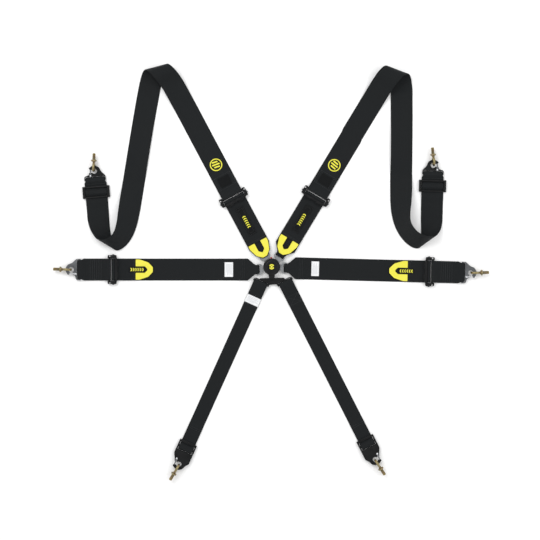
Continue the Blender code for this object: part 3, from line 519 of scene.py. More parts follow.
def profile():
    """The webbing's section, as a loop of (share of half width, offset from the edge, height)."""
    columns = 16
    flat = [-1 + 2 * k / columns for k in range(1, columns)]
    lower = [(u, 0.0, -T / 2) for u in flat]
    upper = [(u, 0.0, T / 2) for u in reversed(flat)]
    edge = [(0.0011, -T / 2), (0.0004, -T / 2 * 0.72), (0.0, 0.0), (0.0004, T / 2 * 0.72), (0.0011, T / 2)]
    right = [(1.0, -inset, h) for inset, h in edge]
    left = [(-1.0, inset, h) for inset, h in reversed(edge)]
    return lower + right + upper + left


def ribbon(name, stations):
    """Webbing with rounded selvedges, mapped in metres across and along."""
    section = profile()
    bm = bmesh.new()
    weave = bm.loops.layers.uv.new("weave")
    rows = []
    travelled = 0.0
    last = len(stations) - 1
    for i, (middle, across, width) in enumerate(stations):
        if i:
            travelled += (middle - stations[i - 1][0]).length
        ahead = (stations[min(i + 1, last)][0] - stations[max(i - 1, 0)][0]).normalized()
        normal = ahead.cross(across).normalized()
        half = width / 2
        row = []
        for share, inset, lift in section:
            v = share * half + inset
            corner = middle + across * v + normal * lift
            corner.z = max(corner.z, 0)
            row.append((bm.verts.new(corner), v, travelled))
        rows.append(row)
    count = len(section)
    for low, high in zip(rows, rows[1:]):
        for i in range(count):
            j = (i + 1) % count
            corners = (low[i], low[j], high[j], high[i])
            face = bm.faces.new([c[0] for c in corners])
            for loop, corner in zip(face.loops, corners):
                loop[weave].uv = corner[1:]
    bm.faces.new([c[0] for c in rows[0]][::-1])
    bm.faces.new([c[0] for c in rows[-1]])
    return mesh_of(bm, name, 50)


def belt(name, stations, body, nodes, blend=None):
    """A piece of belt. Its cut length, width and flat area are worked out but not used."""
    obj = put(name, ribbon(name, stations), BELT, None, nodes)
    length = sum((b[0] - a[0]).length for a, b in zip(stations, stations[1:]))
    width = max(s[2] for s in stations)
    flat_area = sum((b[0] - a[0]).length * (a[2] + b[2]) / 2 for a, b in zip(stations, stations[1:]))
    if blend:
        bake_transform(obj)
    else:
        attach(obj, body)
    return obj


def stitches(lines, top, place, length=0.0030, gap=0.0013, width=0.00075, height=0.00050):
    """Small raised stitches along polylines of (s, v). top gives the surface's height at s."""
    bm = bmesh.new()
    for line in lines:
        for a, b in zip(line, line[1:]):
            a, b = Vector(a), Vector(b)
            total = (b - a).length
            count = max(1, round(total / (length + gap)))
            ahead = (b - a).normalized()
            side = Vector((-ahead.y, ahead.x))
            for k in range(count):
                middle = a.lerp(b, (k + 0.5) / count)
                base = []
                crown = []
                for along, out in ((-0.5, 0.5), (-0.5, -0.5), (0.5, -0.5), (0.5, 0.5)):
                    p = middle + ahead * along * length + side * out * width
                    q = middle + ahead * along * length * 0.6 + side * out * width * 0.5
                    base.append(bm.verts.new(place(p.x, top(p.x) - 0.0001, p.y)))
                    crown.append(bm.verts.new(place(q.x, top(q.x) + height, q.y)))
                bm.faces.new(crown)
                for i in range(4):
                    j = (i + 1) % 4
                    bm.faces.new((base[i], base[j], crown[j], crown[i]))
                bm.faces.new(base[::-1])
    return mesh_of(bm, "stitches", 60)


def rows_across(places, half):
    """Straight seams across the belt at these distances."""
    return [[(s, -half), (s, half)] for s in places]


def strip(s0, s1, half):
    """A rectangle along the belt's middle."""
    return [(s0, -half), (s1, -half), (s1, half), (s0, half)]


def box_line(s0, s1, v0, v1, cross=False):
    lines = [[(s0, v0), (s1, v0), (s1, v1), (s0, v1), (s0, v0)]]
    if cross:
        lines += [[(s0, v0), (s1, v1)], [(s0, v1), (s1, v0)]]
    return lines


def shapes(name, polygons, top, place, thickness, grain=0.004):
    """Flat shapes laid on the webbing: polygons of (s, v), raised by thickness."""
    bm = bmesh.new()
    weave = bm.loops.layers.uv.new("weave")
    for polygon in polygons:
        dense = []
        for a, b in zip(polygon, polygon[1:] + polygon[:1]):
            pieces = max(1, math.ceil(math.dist(a, b) / grain))
            rise, shift = b[0] - a[0], b[1] - a[1]
            dense += [(a[0] + rise * k / pieces, a[1] + shift * k / pieces) for k in range(pieces)]
        low = [bm.verts.new(place(s, top(s) - 0.0001, v)) for s, v in dense]
        high = [bm.verts.new(place(s, top(s) + thickness, v)) for s, v in dense]
        made = [bm.faces.new(high)]
        made.append(bm.faces.new(low[::-1]))
        for i in range(len(dense)):
            j = (i + 1) % len(dense)
            made.append(bm.faces.new((low[i], low[j], high[j], high[i])))
        flat = dict(zip(low + high, dense + dense))
        for face in made:
            for loop in face.loops:
                s, v = flat[loop.vert]
                loop[weave].uv = (v, s)
    bmesh.ops.triangulate(bm, faces=bm.faces[:])
    return mesh_of(bm, name, 30)


def on(arm):
    return lambda s, z, v: arm.point(s, z, v)


def level(height):
    return lambda s: height


def chevrons(s0, s1, half, count, bar=0.45, way=1):
    """A row of plain chevrons pointing along the belt."""
    made = []
    step = (s1 - s0) / count
    for k in range(count):
        s = s0 + step * (k + 0.15)
        t = step * bar
        lean = step * 0.38 * way
        made.append([(s, -half), (s + t, -half), (s + t + lean, 0), (s + t, half), (s, half), (s + lean, 0)])
    return made


def slant_mark(s, size):
    """A plain round badge: a ring with three slanted bars in it."""
    made = []
    outer, inner = size, size * 0.84
    for k in range(24):
        a0, a1 = 15 * k, 15 * (k + 1)
        made.append(arc((s, 0), outer, a0, a1, 2) + arc((s, 0), inner, a1, a0, 2))
    for k in (-1, 0, 1):
        middle = s + k * size * 0.42
        reach = size * (0.62 if k == 0 else 0.46)
        made.append([(middle - 0.0032, -reach), (middle + 0.0018, -reach), (middle + 0.0052, reach),
                     (middle + 0.0002, reach)])
    return made


def label(name, arm, s0, s1, half, top, body):
    """A white label with a few plain printed lines, sewn down at its ends."""
    cloth = shapes(name, [strip(s0, s1, half)], level(top), on(arm), LABEL_T)
    obj = put(name, cloth, LABEL, body)
    lines = []
    span = s1 - s0
    for k in range(7):
        s = s0 + span * (0.16 + 0.10 * k)
        reach = half * (0.78, 0.62, 0.80, 0.45, 0.74, 0.80, 0.35)[k]
        end = s + span * 0.035
        lines.append([(s, -half * 0.80), (end, -half * 0.80), (end, reach), (s, reach)])
    raised = level(top + LABEL_T)
    put(f"{name}_print", shapes(f"{name}_print", lines, raised, on(arm), 0.00006), PRINT, body)
    rows = rows_across((s0 + 0.0015, s1 - 0.0015), half - 0.001)
    put(f"{name}_seam", stitches(rows, raised, on(arm), 0.0022, 0.0014, 0.0005, 0.0003), THREAD, body)
    return obj


# ---------------------------------------------------------------- buckle


def ease(start, end, steps, bulge):
    """A short rounded shoulder between two profile points."""
    made = []
    for k in range(steps + 1):
        t = k / steps
        a = t * math.pi / 2
        r = start[0] + (end[0] - start[0]) * ((1 - math.cos(a)) if bulge else math.sin(a))
        z = start[1] + (end[1] - start[1]) * (math.sin(a) if bulge else (1 - math.cos(a)))
        made.append((r, z))
    return made


def build_buckle():
    base = [(0, 0.0), (0.0278, 0.0), (0.0285, 0.0007), (0.0285, 0.0023), (0.0278, 0.0030), (0, 0.0030)]
    put("buckle_back_plate", turned("buckle_back_plate", base), BLACK, "buckle", ["base_plate"])
    refined("housing", "buckle", 0.0004, MOULD)
    cover = [(0.0069, 0.0133), (0.0280, 0.0133), (0.0285, 0.0137), (0.0285, 0.0148), (0.0279, 0.0153),
             (0.0069, 0.0153)]
    put("buckle_cover", turned("buckle_cover", cover), BLACK, "buckle", ["top_cover"])
    refined("spindle", "buckle", 0.0002, BRIGHT)
    refined("retaining_ring", "buckle", 0.0001, BRIGHT)
    coil = helix(144, 48, lambda a, t: Vector((0.0098 * math.cos(a), 0.0098 * math.sin(a),
                                               0.0166 + 0.0030 * t)))
    put("return_spring_wire", wire("return_spring_wire", coil, 0.00042), BRIGHT, "buckle", ["return_spring"])
    refined("cam_disc", "knob", 0.0002, BRIGHT)

    rim = [(0.0130, 0.0157), (0.0278, 0.0157)] + ease((0.0278, 0.0157), (0.0290, 0.0170), 4, False)
    rim += ease((0.0290, 0.0228), (0.0254, 0.0262), 6, True)
    rim += [(0.0236, 0.0262), (0.0230, 0.0259), (0.0226, 0.0252), (0.0216, 0.0252), (0.0208, 0.0254),
            (0.0202, 0.0258), (0.0194, 0.0262), (0.0172, 0.0262), (0.0166, 0.0257), (0.0158, 0.0257),
            (0.0152, 0.0262), (0.0118, 0.0262), (0.0113, 0.0258), (0.0113, 0.0216), (0.0044, 0.0216),
            (0.0044, 0.0200), (0.0130, 0.0200)]
    put("knob_rim", turned("knob_rim", rim, 120), MOULD, "knob", ["rotary_knob"])

    lever = rounded([(-0.0125, -0.0210), (-0.0105, -0.0300), (-0.0092, -0.0405), (0.0092, -0.0405),
                     (0.0105, -0.0300), (0.0125, -0.0210)], [0, 0.03, 0.0048, 0.0048, 0.03, 0], 8)
    put("knob_lever", plate("knob_lever", lever, [], 0.0163, 0.0222, 0.0012), MOULD, "knob")
    ribs = []
    for k in range(5):
        y = -0.0296 - 0.0022 * k
        half = 0.0080 - 0.0005 * k
        ribs.append([(-half, y - 0.0006), (half, y - 0.0006), (half, y + 0.0006), (-half, y + 0.0006)])
    flat_place = lambda s, z, v: Vector((s, v, z))
    put("knob_lever_ribs", shapes("knob_lever_ribs", ribs, level(0.0222), flat_place, 0.0007), MOULD, "knob")
    raised = [[(-0.0100, -0.0205), (-0.0086, -0.0275), (-0.0070, -0.0275), (-0.0082, -0.0200)],
              [(0.0100, -0.0205), (0.0086, -0.0275), (0.0070, -0.0275), (0.0082, -0.0200)]]
    put("knob_lever_rails", shapes("knob_lever_rails", [r[::-1] if k else r for k, r in enumerate(raised)],
                                   level(0.0222), flat_place, 0.0028), MOULD, "knob")
    grips = []
    for k in range(60):
        a = 6 * k
        if 248 < a < 292:
            continue
        grips.append(Vector((math.cos(math.radians(a)), math.sin(math.radians(a)), 0)))
    bm = bmesh.new()
    for out in grips:
        side = Vector((-out.y, out.x, 0))
        low, high = [], []
        for reach, wide in ((0.0284, 0.0007), (0.02925, 0.0004)):
            for row, z in ((low, GRIP_LOW), (high, GRIP_HIGH)):
                row += [out * reach + side * (way * wide) + Vector((0, 0, z)) for way in (-1, 1)]
        a = [bm.verts.new(p) for p in low]
        b = [bm.verts.new(p) for p in high]
        order = (0, 1, 3, 2)
        bm.faces.new([a[i] for i in order][::-1])
        bm.faces.new([b[i] for i in order])
        for i, j in zip(order, (1, 3, 2, 0)):
            bm.faces.new((a[i], a[j], b[j], b[i]))
    put("knob_grip_ribs", mesh_of(bm, "knob_grip_ribs"), MOULD, "knob")

    dome = [(0, 0.0238), (0.0102, 0.0238)] + ease((0.0102, 0.0262), (0.0094, 0.0272), 4, True)
    dome += [(0.0060, 0.0275), (0, 0.0276)]
    put("badge_dome", turned("badge_dome", dome, 64), MOULD, "knob", ["knob_badge"])
    marks = []
    for start in (20, 200):
        for k in range(7):
            a0, a1 = start + 17 * k, start + 17 * (k + 1)
            marks.append(arc((0, 0), 0.0090, a0, a1, 2) + arc((0, 0), 0.0052, a1, a0, 2))
        tip = start + 119 + 32
        head = [arc((0, 0), 0.0103, start + 119, start + 119, 1)[0], arc((0, 0), 0.0074, tip, tip, 1)[0],
                arc((0, 0), 0.0040, start + 119, start + 119, 1)[0]]
        marks.append(head)
    marks.append(circle((0, 0), 0.0036, 20))
    arrows = shapes("badge_arrows", marks, level(0.02745), flat_place, 0.00035, 0.002)
    put("badge_arrows", arrows, MARK, "knob")

    refined("red_button", "button", 0.0005, RED)
    x, y, z = BUTTON_SPRING
    coil = helix(72, 24, lambda a, t: Vector((x + BUTTON_SPRING_R * math.cos(a), y + 0.0017 * t,
                                              z + BUTTON_SPRING_R * math.sin(a))))
    spring = put("button_spring_wire", wire("button_spring_wire", coil, 0.00030, 6), BRIGHT, "buckle",
                 ["button_spring"])
    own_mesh(spring)


# ---------------------------------------------------------------- fittings


def eyebolt_mesh():
    """Ring, shaped collar and a threaded shank. X runs outward from the ring's centre."""
    bm = bmesh.new()
    major, minor = 72, 20
    grid = []
    for i in range(major):
        a = 2 * math.pi * i / major
        row = []
        for k in range(minor):
            b = 2 * math.pi * k / minor
            r = EYE_RING + EYE_TUBE * math.cos(b)
            row.append(bm.verts.new((r * math.cos(a), EYE_TUBE * math.sin(b), r * math.sin(a))))
        grid.append(row)
    for i in range(major):
        for k in range(minor):
            n, m = (i + 1) % major, (k + 1) % minor
            bm.faces.new((grid[i][k], grid[i][m], grid[n][m], grid[n][k]))
    steps = 36
    neck = [(0.0140, 0.0030), (0.0152, 0.0047), (0.0166, 0.0052), (0.0178, 0.0050), (0.0186, 0.0062),
            (0.0192, 0.0090), (0.0196, 0.0097), (0.0206, 0.0098), (0.0212, 0.0093), (0.0216, 0.0091),
            (0.0222, 0.0093), (0.0228, 0.0098), (0.0238, 0.0098), (0.0243, 0.0092), (0.0243, 0.0056)]
    rows = []
    for x, r in neck:
        rows.append([bm.verts.new((x, r * math.cos(a), r * math.sin(a)))
                     for a in (2 * math.pi * k / steps for k in range(steps))])
    per = 6  # rows of corners in each turn of the thread
    count = int((SHANK_END - SHANK_START) / THREAD_PITCH * per)
    for i in range(count + 1):
        x = SHANK_START + THREAD_PITCH * i / per
        fade = min(1.0, i / per, (count - i) / per)
        row = []
        for k in range(steps):
            phase = (i / per - k / steps) % 1.0
            tooth = 1 - abs(2 * phase - 1)
            r = SHANK_R - 0.00062 * (1 - tooth) * fade - (0.0009 * max(0, 1 - (count - i) / per))
            a = 2 * math.pi * k / steps
            row.append(bm.verts.new((x, r * math.cos(a), r * math.sin(a))))
        rows.append(row)
    for low, high in zip(rows, rows[1:]):
        for k in range(steps):
            m = (k + 1) % steps
            bm.faces.new((low[k], low[m], high[m], high[k]))
    bm.faces.new(rows[0][::-1])
    bm.faces.new(rows[-1])
    return mesh_of(bm, "eyebolt_look", 50)


BOLT = eyebolt_mesh()
BOLT.materials.append(GOLD)


def build_end(prefix, arm, bar, eye, height, pitch, side, yaw, body):
    """Hook plate, gate with its rivet and spring, and eyebolt."""
    lap = "lap" in prefix
    finish = [GREY, EDGE] if lap else [BLACK, DULL]
    refined(f"{prefix}_hook_plate", body, 0.00045, finish, 2)
    refined(f"{prefix}_gate", f"{prefix}_gate_body", 0.00030, BRIGHT if lap else GREY)
    place = arm.place(bar, height, pitch)
    x, y = eye - 0.0150, -0.0148 * side
    pivot = place @ Matrix.Translation((x, y, 0))
    head = [(0, 0.00345), (0.0026, 0.00345), (0.0026, 0.0038), (0.0019, 0.0044), (0.0009, 0.0047),
            (0, 0.0048)]
    put(f"{prefix}_rivet", turned(f"{prefix}_rivet", head, 32), BRIGHT, body, place=pivot)
    spring = helix(60, 24, lambda a, t: Vector((0.0030 * math.cos(a), 0.0030 * math.sin(a),
                                                0.00355 + 0.00045 * t)))
    spring += [Vector((0.0062, 0.0024 * side, 0.0039)), Vector((0.0120, 0.0012 * side, 0.0038))]
    put(f"{prefix}_gate_spring", wire(f"{prefix}_gate_spring", spring, 0.00030, 6), BRIGHT, body, place=pivot)
    ring = bar + (eye + 0.0140) * math.cos(math.radians(pitch))
    bolt = bpy.data.objects.new(f"{prefix}_bolt", BOLT)
    bpy.context.scene.collection.objects.link(bolt)
    bolt.matrix_world = arm.place(ring, EYE_RING + EYE_TUBE + 0.0002, 0, yaw)
    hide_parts(f"{prefix}_eyebolt")
    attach(bolt, f"{prefix}_eyebolt_body")


def build_adjuster(prefix, arm, adjuster, body):
    refined(f"{prefix}_adjuster", body, 0.0005, [BLACK, DULL], 2)
    refined(f"{prefix}_lock_bar", f"{prefix}_lock_body", 0.0004, STEEL)
    place = arm.place(adjuster)
    # grips on the lock bar's ends, and the springs that push it outward
    for way, mark in ((-1, "a"), (1, "b")):
        coil = helix(96, 16, lambda a, t: Vector((-0.0150 + 0.0065 * t, way * (0.0458 + 0.0014 * math.cos(a)),
                                                  LOCK_Z + 0.0014 * math.sin(a))))
        coiled = wire("lock_spring", coil, 0.00028, 6)
        spring = put(f"{prefix}_spring_{mark}", coiled, BRIGHT, body, place=place)
        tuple(arm.out)
        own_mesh(spring)
        grip = [(0, -0.0026), (0.0030, -0.0026), (0.0036, -0.0020), (0.0036, 0.0020), (0.0030, 0.0026),
                (0, 0.0026)]
        turn = Matrix.Translation((LOCK_X, way * 0.0500, LOCK_Z)) @ Matrix.Rotation(math.radians(90), 4, "X")
        put(f"{prefix}_grip_{mark}", turned("lock_grip", grip, 32), GREY,
            f"{prefix}_lock_body", place=place @ turn)
    # a spring wire that zigzags along the inboard edge of the top plate
    zig = []
    half = [(-0.0178, 0.0070), (-0.0225, 0.0135), (-0.0225, 0.0245), (-0.0178, 0.0310), (-0.0172, 0.0400)]
    corners = [(x, -y) for x, y in reversed(half)] + half
    for p in rounded(corners, 0.003, 12, closed=False):
        zig.append(Vector((p.x, p.y, 0.0124)))
    put(f"{prefix}_zig_wire", wire("zig_wire", zig, 0.00075, 8), BLACK, body, place=place)


def adjusted(arm, adjuster, tail_end):
    """Stations of the belt from the tongue to the lock bar, and of the tail above it."""
    low, high = TONGUE_Z - PLATE_T / 2 - WRAP, TONGUE_Z + PLATE_T / 2 + WRAP
    turn = TONGUE_BAR - TONGUE_BAR_HALF - WRAP
    bend = LOCK_R + GAP + T / 2
    far = adjuster + LOCK_X + bend
    top = LOCK_Z + bend
    corners = [(0.104, FIRST, 0), (0.070, FIRST, 0.01), (0.058, low, 0.01), (turn, low, 0.0025),
               (turn, high, 0.0025), (0.055, high, 0.01), (0.092, SECOND, 0.01), (0.110, SECOND, 0.01),
               (0.121, FIRST, 0.01), (far, FIRST, bend * 0.999), (far, top, bend * 0.999),
               (adjuster - 0.0065, top, 0.004), (adjuster - 0.0215, SECOND, 0.004)]
    if tail_end < 0.125:
        corners += [(0.142, SECOND, 0.01), (0.129, THIRD, 0.01), (tail_end, THIRD, 0)]
    else:
        corners.append((tail_end, SECOND, 0))
    widths = [(0.048, NECK_W), (0.058, NECK_W + 0.003), (0.082, WIDE)]
    stations = run(arm, corners, widths)
    # split where the webbing is furthest out, on the lock bar
    reach = [p.dot(arm.out) for p, _, _ in stations]
    cut = max(range(len(stations)), key=lambda i: (round(reach[i], 5), -stations[i][0].z))
    return stations[: cut + 1], stations[cut:]


def pull_loop(prefix, length, body, place, half=0.036):
    """A yellow U of folded webbing on a slightly larger black sheet that makes a dark border round it,
    stitched along both its edges.
    """

    def band(grow, gap_half, gap_end):
        outer = [(-length * 0.22, half + grow), (-length * 0.72, half * 0.72 + grow),
                 (-length - grow, half * 0.24 + grow * 0.6)]
        shape = [(0, -half - grow), (0, -gap_half), (-length * gap_end, -gap_half),
                 (-length * (gap_end + 0.18), 0), (-length * gap_end, gap_half), (0, gap_half),
                 (0, half + grow)]
        shape += outer + [(x, -y) for x, y in reversed(outer)]
        radii = [0, 0, 0.006, 0.006, 0.006, 0, 0, 0.010, 0.012, 0.006, 0.006, 0.012, 0.010]
        return rounded(shape, radii, 8)

    dark_border_sheet = plate(f"{prefix}_loop_back", band(0.0012, 0.0099, 0.50), [], 0.0, 0.0011, 0.0003)
    put(f"{prefix}_loop_back", dark_border_sheet, SEWN, body, place=place)
    yellow = plate(f"{prefix}_loop_band", band(-0.0012, 0.0112, 0.52), [], 0.0012, 0.0031, 0.0007)
    put(f"{prefix}_loop_band", yellow, PULL, body, [f"{prefix}_pull_loop"], place)
    inner = [tuple(p) for p in band(-0.0045, 0.0140, 0.54)]
    closed = inner + [inner[0]]
    here = lambda s, z, v: place @ Vector((s, v, z))
    seam = stitches([closed], level(0.0031), here, 0.0026, 0.0012, 0.0006, 0.0004)
    put(f"{prefix}_loop_seam", seam, YELLOW_THREAD, body)


def wrap_bar(s, z, half_x, half_z, off, inward, slack=0.0):
    x = s - half_x - off if inward else s + half_x + off + slack
    return [(x, z - half_z - off, 0.0025), (x, z + half_z + off, 0.0025)]


def bodies_of(prefix):
    return f"{prefix}_tongue_body", f"{prefix}_adjuster_body", f"{prefix}_tail_body"


def build_strand(prefix, arm, adjuster, tail_end, piece, node, bend_start):
    """Tongue, belt and tail up to the adjuster. Returns the tail's two bodies and two points along the arm.
    """
    inner, outer, tail = bodies_of(prefix)
    refined(f"{prefix}_tongue", inner, 0.00045, STEEL)
    main, end = adjusted(arm, adjuster, tail_end)
    name = f"{prefix}_{piece}_webbing"
    belt(name, main, inner, [f"{prefix}_{node}"],
         blend=(inner, outer, arm.point(bend_start, 0), arm.point(adjuster - 0.03, 0)))
    slide = (outer, tail, arm.point(adjuster - 0.004, 0), arm.point(tail_end, 0))
    belt(f"{prefix}_tail_webbing", end, tail, [], blend=slide)
    build_adjuster(prefix, arm, adjuster, outer)
    return slide


def build_lap(prefix, arm, adjuster, tail_end, tip, hook_bar, side, yaw):
    inner, outer, tail = bodies_of(prefix)
    slide = build_strand(prefix, arm, adjuster, tail_end, "main", "belt", 0.17)
    pull_loop(prefix, tail_end - tip, tail, arm.place(tail_end - GAP, SECOND - T / 2))

    # sewn marks on the tail
    seam = stitches(rows_across((tail_end + 0.004, tail_end + 0.008), SEAM_HALF), level(TOP2), on(arm))
    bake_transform(put(f"{prefix}_tail_seam", seam, THREAD, None))
    cover = shapes(f"{prefix}_mark_cover", [strip(tail_end - 0.030, tail_end + 0.024, 0.0090)], level(TOP2),
                   on(arm), COVER_T)
    raised = level(TOP2 + COVER_T)
    put(f"{prefix}_mark_cover", cover, SEWN, tail)
    outline = box_line(tail_end - 0.0285, tail_end + 0.0225, -0.0076, 0.0076)
    edge = stitches(outline, raised, on(arm), 0.0022, 0.0012, 0.0005, 0.0003)
    put(f"{prefix}_mark_seam", edge, THREAD, tail)
    mark = shapes(f"{prefix}_mark", chevrons(tail_end - 0.026, tail_end + 0.021, 0.0055, 6, way=-1), raised,
                  on(arm), BADGE_T, 0.002)
    put(f"{prefix}_mark", mark, MARK, tail)

    fx, fz = FIXED_HALF
    near = wrap_bar(adjuster + FIXED_X, FIXED_Z, fx, fz, WRAP, True)
    far = wrap_bar(hook_bar, HOOK_BAR_Z, HOOK_BAR_HALF, PLATE_T / 2, HOOK_WRAP, False, HOOK_SLACK)
    middle = (adjuster + hook_bar) / 2
    corners = [(middle - 0.003, FIRST, 0), (adjuster + 0.024, FIRST, 0.01),
               (adjuster + 0.016, near[0][1], 0.01)]
    corners += near + [(adjuster + 0.014, near[1][1], 0.01), (adjuster + 0.034, SECOND, 0.01)]
    corners += [(hook_bar - 0.024, SECOND, 0.01), (hook_bar - 0.006, far[1][1], 0.01)] + far[::-1]
    corners += [(hook_bar - 0.007, far[0][1], 0.01), (hook_bar - 0.016, FIRST, 0.01),
                (middle + 0.003, FIRST, 0)]
    widths = [(hook_bar - 0.014, WIDE), (hook_bar - 0.004, HOOK_W)]
    belt(f"{prefix}_anchor_webbing", run(arm, corners, widths, 0.004), outer, [f"{prefix}_anchor_strap"])
    rows = rows_across([adjuster + 0.038 + 0.0075 * k for k in range(6)], SEAM_HALF)
    rows += [[(adjuster + 0.036, v), (hook_bar - 0.030, v)] for v in (-0.0345, 0.0345)]
    put(f"{prefix}_anchor_seam", stitches(rows, level(TOP2), on(arm)), THREAD, outer)
    build_end(prefix, arm, hook_bar, HOOK_EYE, HOOK_BAR_Z, 8.0, side, yaw, outer)

    # sewing at the tongue and the white label
    rows = rows_across(TONGUE_SEAMS, 0.033)
    put(f"{prefix}_tongue_seam", stitches(rows, level(TOP2), on(arm)), THREAD, inner)
    span = (0.133, 0.162) if "left" in prefix else (0.137, 0.163)
    label(f"{prefix}_label", arm, span[0], span[1], 0.0250, TOP1, inner)


def build_shoulder(prefix, arm, end_arm, adjuster, tail_end, tip, top_fold, low_fold, slider, hook_bar, side,
                   yaw):
    inner, outer, tail = bodies_of(prefix)
    slide = build_strand(prefix, arm, adjuster, tail_end, "lower", "lower_belt", 0.14)
    pull_loop(prefix, tail_end - tip, tail, arm.place(tail_end - GAP, 0.0066, -8.0))

    # the tail's stitched panel, with a row of plain chevrons on it
    s0, s1 = tail_end + 0.031, adjuster - 0.040

    def tail_top(s):
        share = min(1.0, max(0.0, (0.142 - s) / 0.013))
        return TOP2 + (THIRD - SECOND) * share if tail_end < 0.125 else TOP2

    cover = shapes(f"{prefix}_panel", [strip(s0, s1, 0.0150)], tail_top, on(arm), PANEL_T)
    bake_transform(put(f"{prefix}_panel", cover, SEWN, None))
    raised = lambda s: tail_top(s) + PANEL_T
    lines = box_line(s0 + 0.002, s1 - 0.002, -0.0130, 0.0130)
    lines += box_line(s0 + 0.008, s1 - 0.008, -0.0085, 0.0085)
    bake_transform(put(f"{prefix}_panel_seam", stitches(lines, raised, on(arm)), THREAD, None))
    middle = (s0 + s1) / 2 - 0.004
    mark = shapes(f"{prefix}_mark", chevrons(middle - 0.023, middle + 0.023, 0.0056, 6), raised, on(arm),
                  BADGE_T, 0.002)
    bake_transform(put(f"{prefix}_mark", mark, MARK, None))
    lines = rows_across((tail_end + 0.004, tail_end + 0.008), SEAM_HALF)
    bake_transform(put(f"{prefix}_tail_seam", stitches(lines, tail_top, on(arm)), THREAD, None))

    fx, fz = FIXED_HALF
    near = wrap_bar(adjuster + FIXED_X, FIXED_Z, fx, fz, WRAP, True)
    corners = [(adjuster + 0.086, FIRST, 0), (adjuster + 0.024, FIRST, 0.01),
               (adjuster + 0.016, near[0][1], 0.01)]
    corners += near + [(adjuster + 0.014, near[1][1], 0.01), (adjuster + 0.034, SECOND, 0.01)]
    corners += [(adjuster + 0.092, SECOND, 0.01), (adjuster + 0.104, FIRST, 0.01)]
    corners += [(adjuster + 0.236, FIRST, 0)]
    stations = run(arm, corners, [(0, WIDE)])
    stations += soft(top_fold + low_fold, WIDE, 14)
    far = wrap_bar(hook_bar, HOOK_BAR_Z, HOOK_BAR_HALF, PLATE_T / 2, HOOK_WRAP, False, HOOK_SLACK)
    start = end_arm.at(*low_fold[-1][0][:2]) + 0.012
    over, under = 0.0075, 0.0049
    corners = [(start, FIRST, 0), (start + 0.020, SECOND, 0.01), (slider - 0.0130, SECOND, 0.003),
               (slider - 0.0045, over, 0.003), (slider + 0.0045, over, 0.003),
               (slider + 0.0130, SECOND, 0.003),
               (slider + 0.024, SECOND, 0.004), (hook_bar - 0.005, far[1][1], 0.004)] + far[::-1]
    corners += [(hook_bar - 0.007, far[0][1], 0.004), (hook_bar - 0.013, FIRST, 0.004),
                (slider + 0.0130, FIRST, 0.003), (slider + 0.0045, under, 0.003),
                (slider - 0.0045, under, 0.003),
                (slider - 0.0130, FIRST, 0.003), (slider - 0.034, FIRST, 0)]
    stations += run(end_arm, corners, [(hook_bar - 0.012, WIDE), (hook_bar - 0.003, HOOK_W)], 0.004)
    belt(f"{prefix}_upper_webbing", stations, outer, [f"{prefix}_upper_belt"])

    def upper_top(s):
        share = min(1.0, max(0.0, (s - adjuster - 0.092) / 0.012))
        return TOP2 + (TOP1 - TOP2) * share

    lines = box_line(adjuster + 0.040, adjuster + 0.086, -0.031, 0.031, True)
    put(f"{prefix}_sewn_box", stitches(lines, level(TOP2), on(arm)), THREAD, outer)
    patch = strip(adjuster + 0.045, adjuster + 0.080, 0.021)
    pad = shapes(f"{prefix}_sewn_pad", [patch], level(TOP2), on(arm), 0.0007)
    put(f"{prefix}_sewn_pad", pad, SEWN, outer)
    badge = (adjuster + 0.127) if "left" in prefix else (adjuster + 0.123)
    mark = shapes(f"{prefix}_round_badge", slant_mark(badge, 0.0215), upper_top, on(arm), 0.0008, 0.002)
    put(f"{prefix}_round_badge", mark, MARK, outer)
    refined(f"{prefix}_slider", outer, 0.0006, BLACK)
    build_end(prefix, end_arm, hook_bar, HOOK_EYE, HOOK_BAR_Z, 8.0, side, yaw, outer)
    line = rows_across((hook_bar - 0.016,), 0.0345)
    put(f"{prefix}_end_seam", stitches(line, level(0.0103), on(end_arm)), THREAD, outer)
    rows = rows_across(TONGUE_SEAMS, 0.033)
    if tail_end > 0.11:
        put(f"{prefix}_tongue_seam", stitches(rows, level(TOP2), on(arm)), THREAD, inner)


def build_crotch(prefix, arm, bar, end_bar, side, yaw):
    body = "crotch_body"
    low, high = TONGUE_Z - PLATE_T / 2 - WRAP, TONGUE_Z + PLATE_T / 2 + WRAP
    turn = bar - TONGUE_BAR_HALF - WRAP - 0.0012
    over = END_PLATE_Z + PLATE_T / 2 + 0.0020
    corners = [(0.150, FIRST, 0), (bar + 0.022, FIRST, 0.01), (bar + 0.010, low, 0.01), (turn, low, 0.0025),
               (turn, high, 0.0025), (bar + 0.008, high, 0.01), (bar + 0.050, SECOND, 0.01),
               (0.156, SECOND, 0.01), (0.168, FIRST, 0.01), (end_bar - 0.092, FIRST, 0.01),
               (end_bar - 0.080, SECOND, 0.01), (end_bar - 0.0140, SECOND, 0.003),
               (end_bar - 0.0045, over, 0.003), (end_bar + 0.0106, over, 0.0045),
               (end_bar + 0.0106, FIRST, 0.0045), (end_bar - 0.074, FIRST, 0)]
    belt(f"{prefix}_webbing", run(arm, corners, [(0, NARROW)]), body, [f"{prefix}_belt"])
    lines = box_line(0.118, 0.150, -0.021, 0.021, "right" in prefix)
    put(f"{prefix}_sewn_box", stitches(lines, level(TOP2), on(arm)), THREAD, body)
    lines = rows_across((end_bar - 0.076, end_bar - 0.070), 0.022)
    put(f"{prefix}_end_seam", stitches(lines, level(TOP2), on(arm)), THREAD, body)
    if "left" in prefix:
        label(f"{prefix}_label", arm, 0.1180, 0.1460, 0.0246, TOP2, body)
    build_end(prefix, arm, end_bar, END_EYE, END_PLATE_Z, 3.1, side, yaw, body)


# ---------------------------------------------------------------- assembly

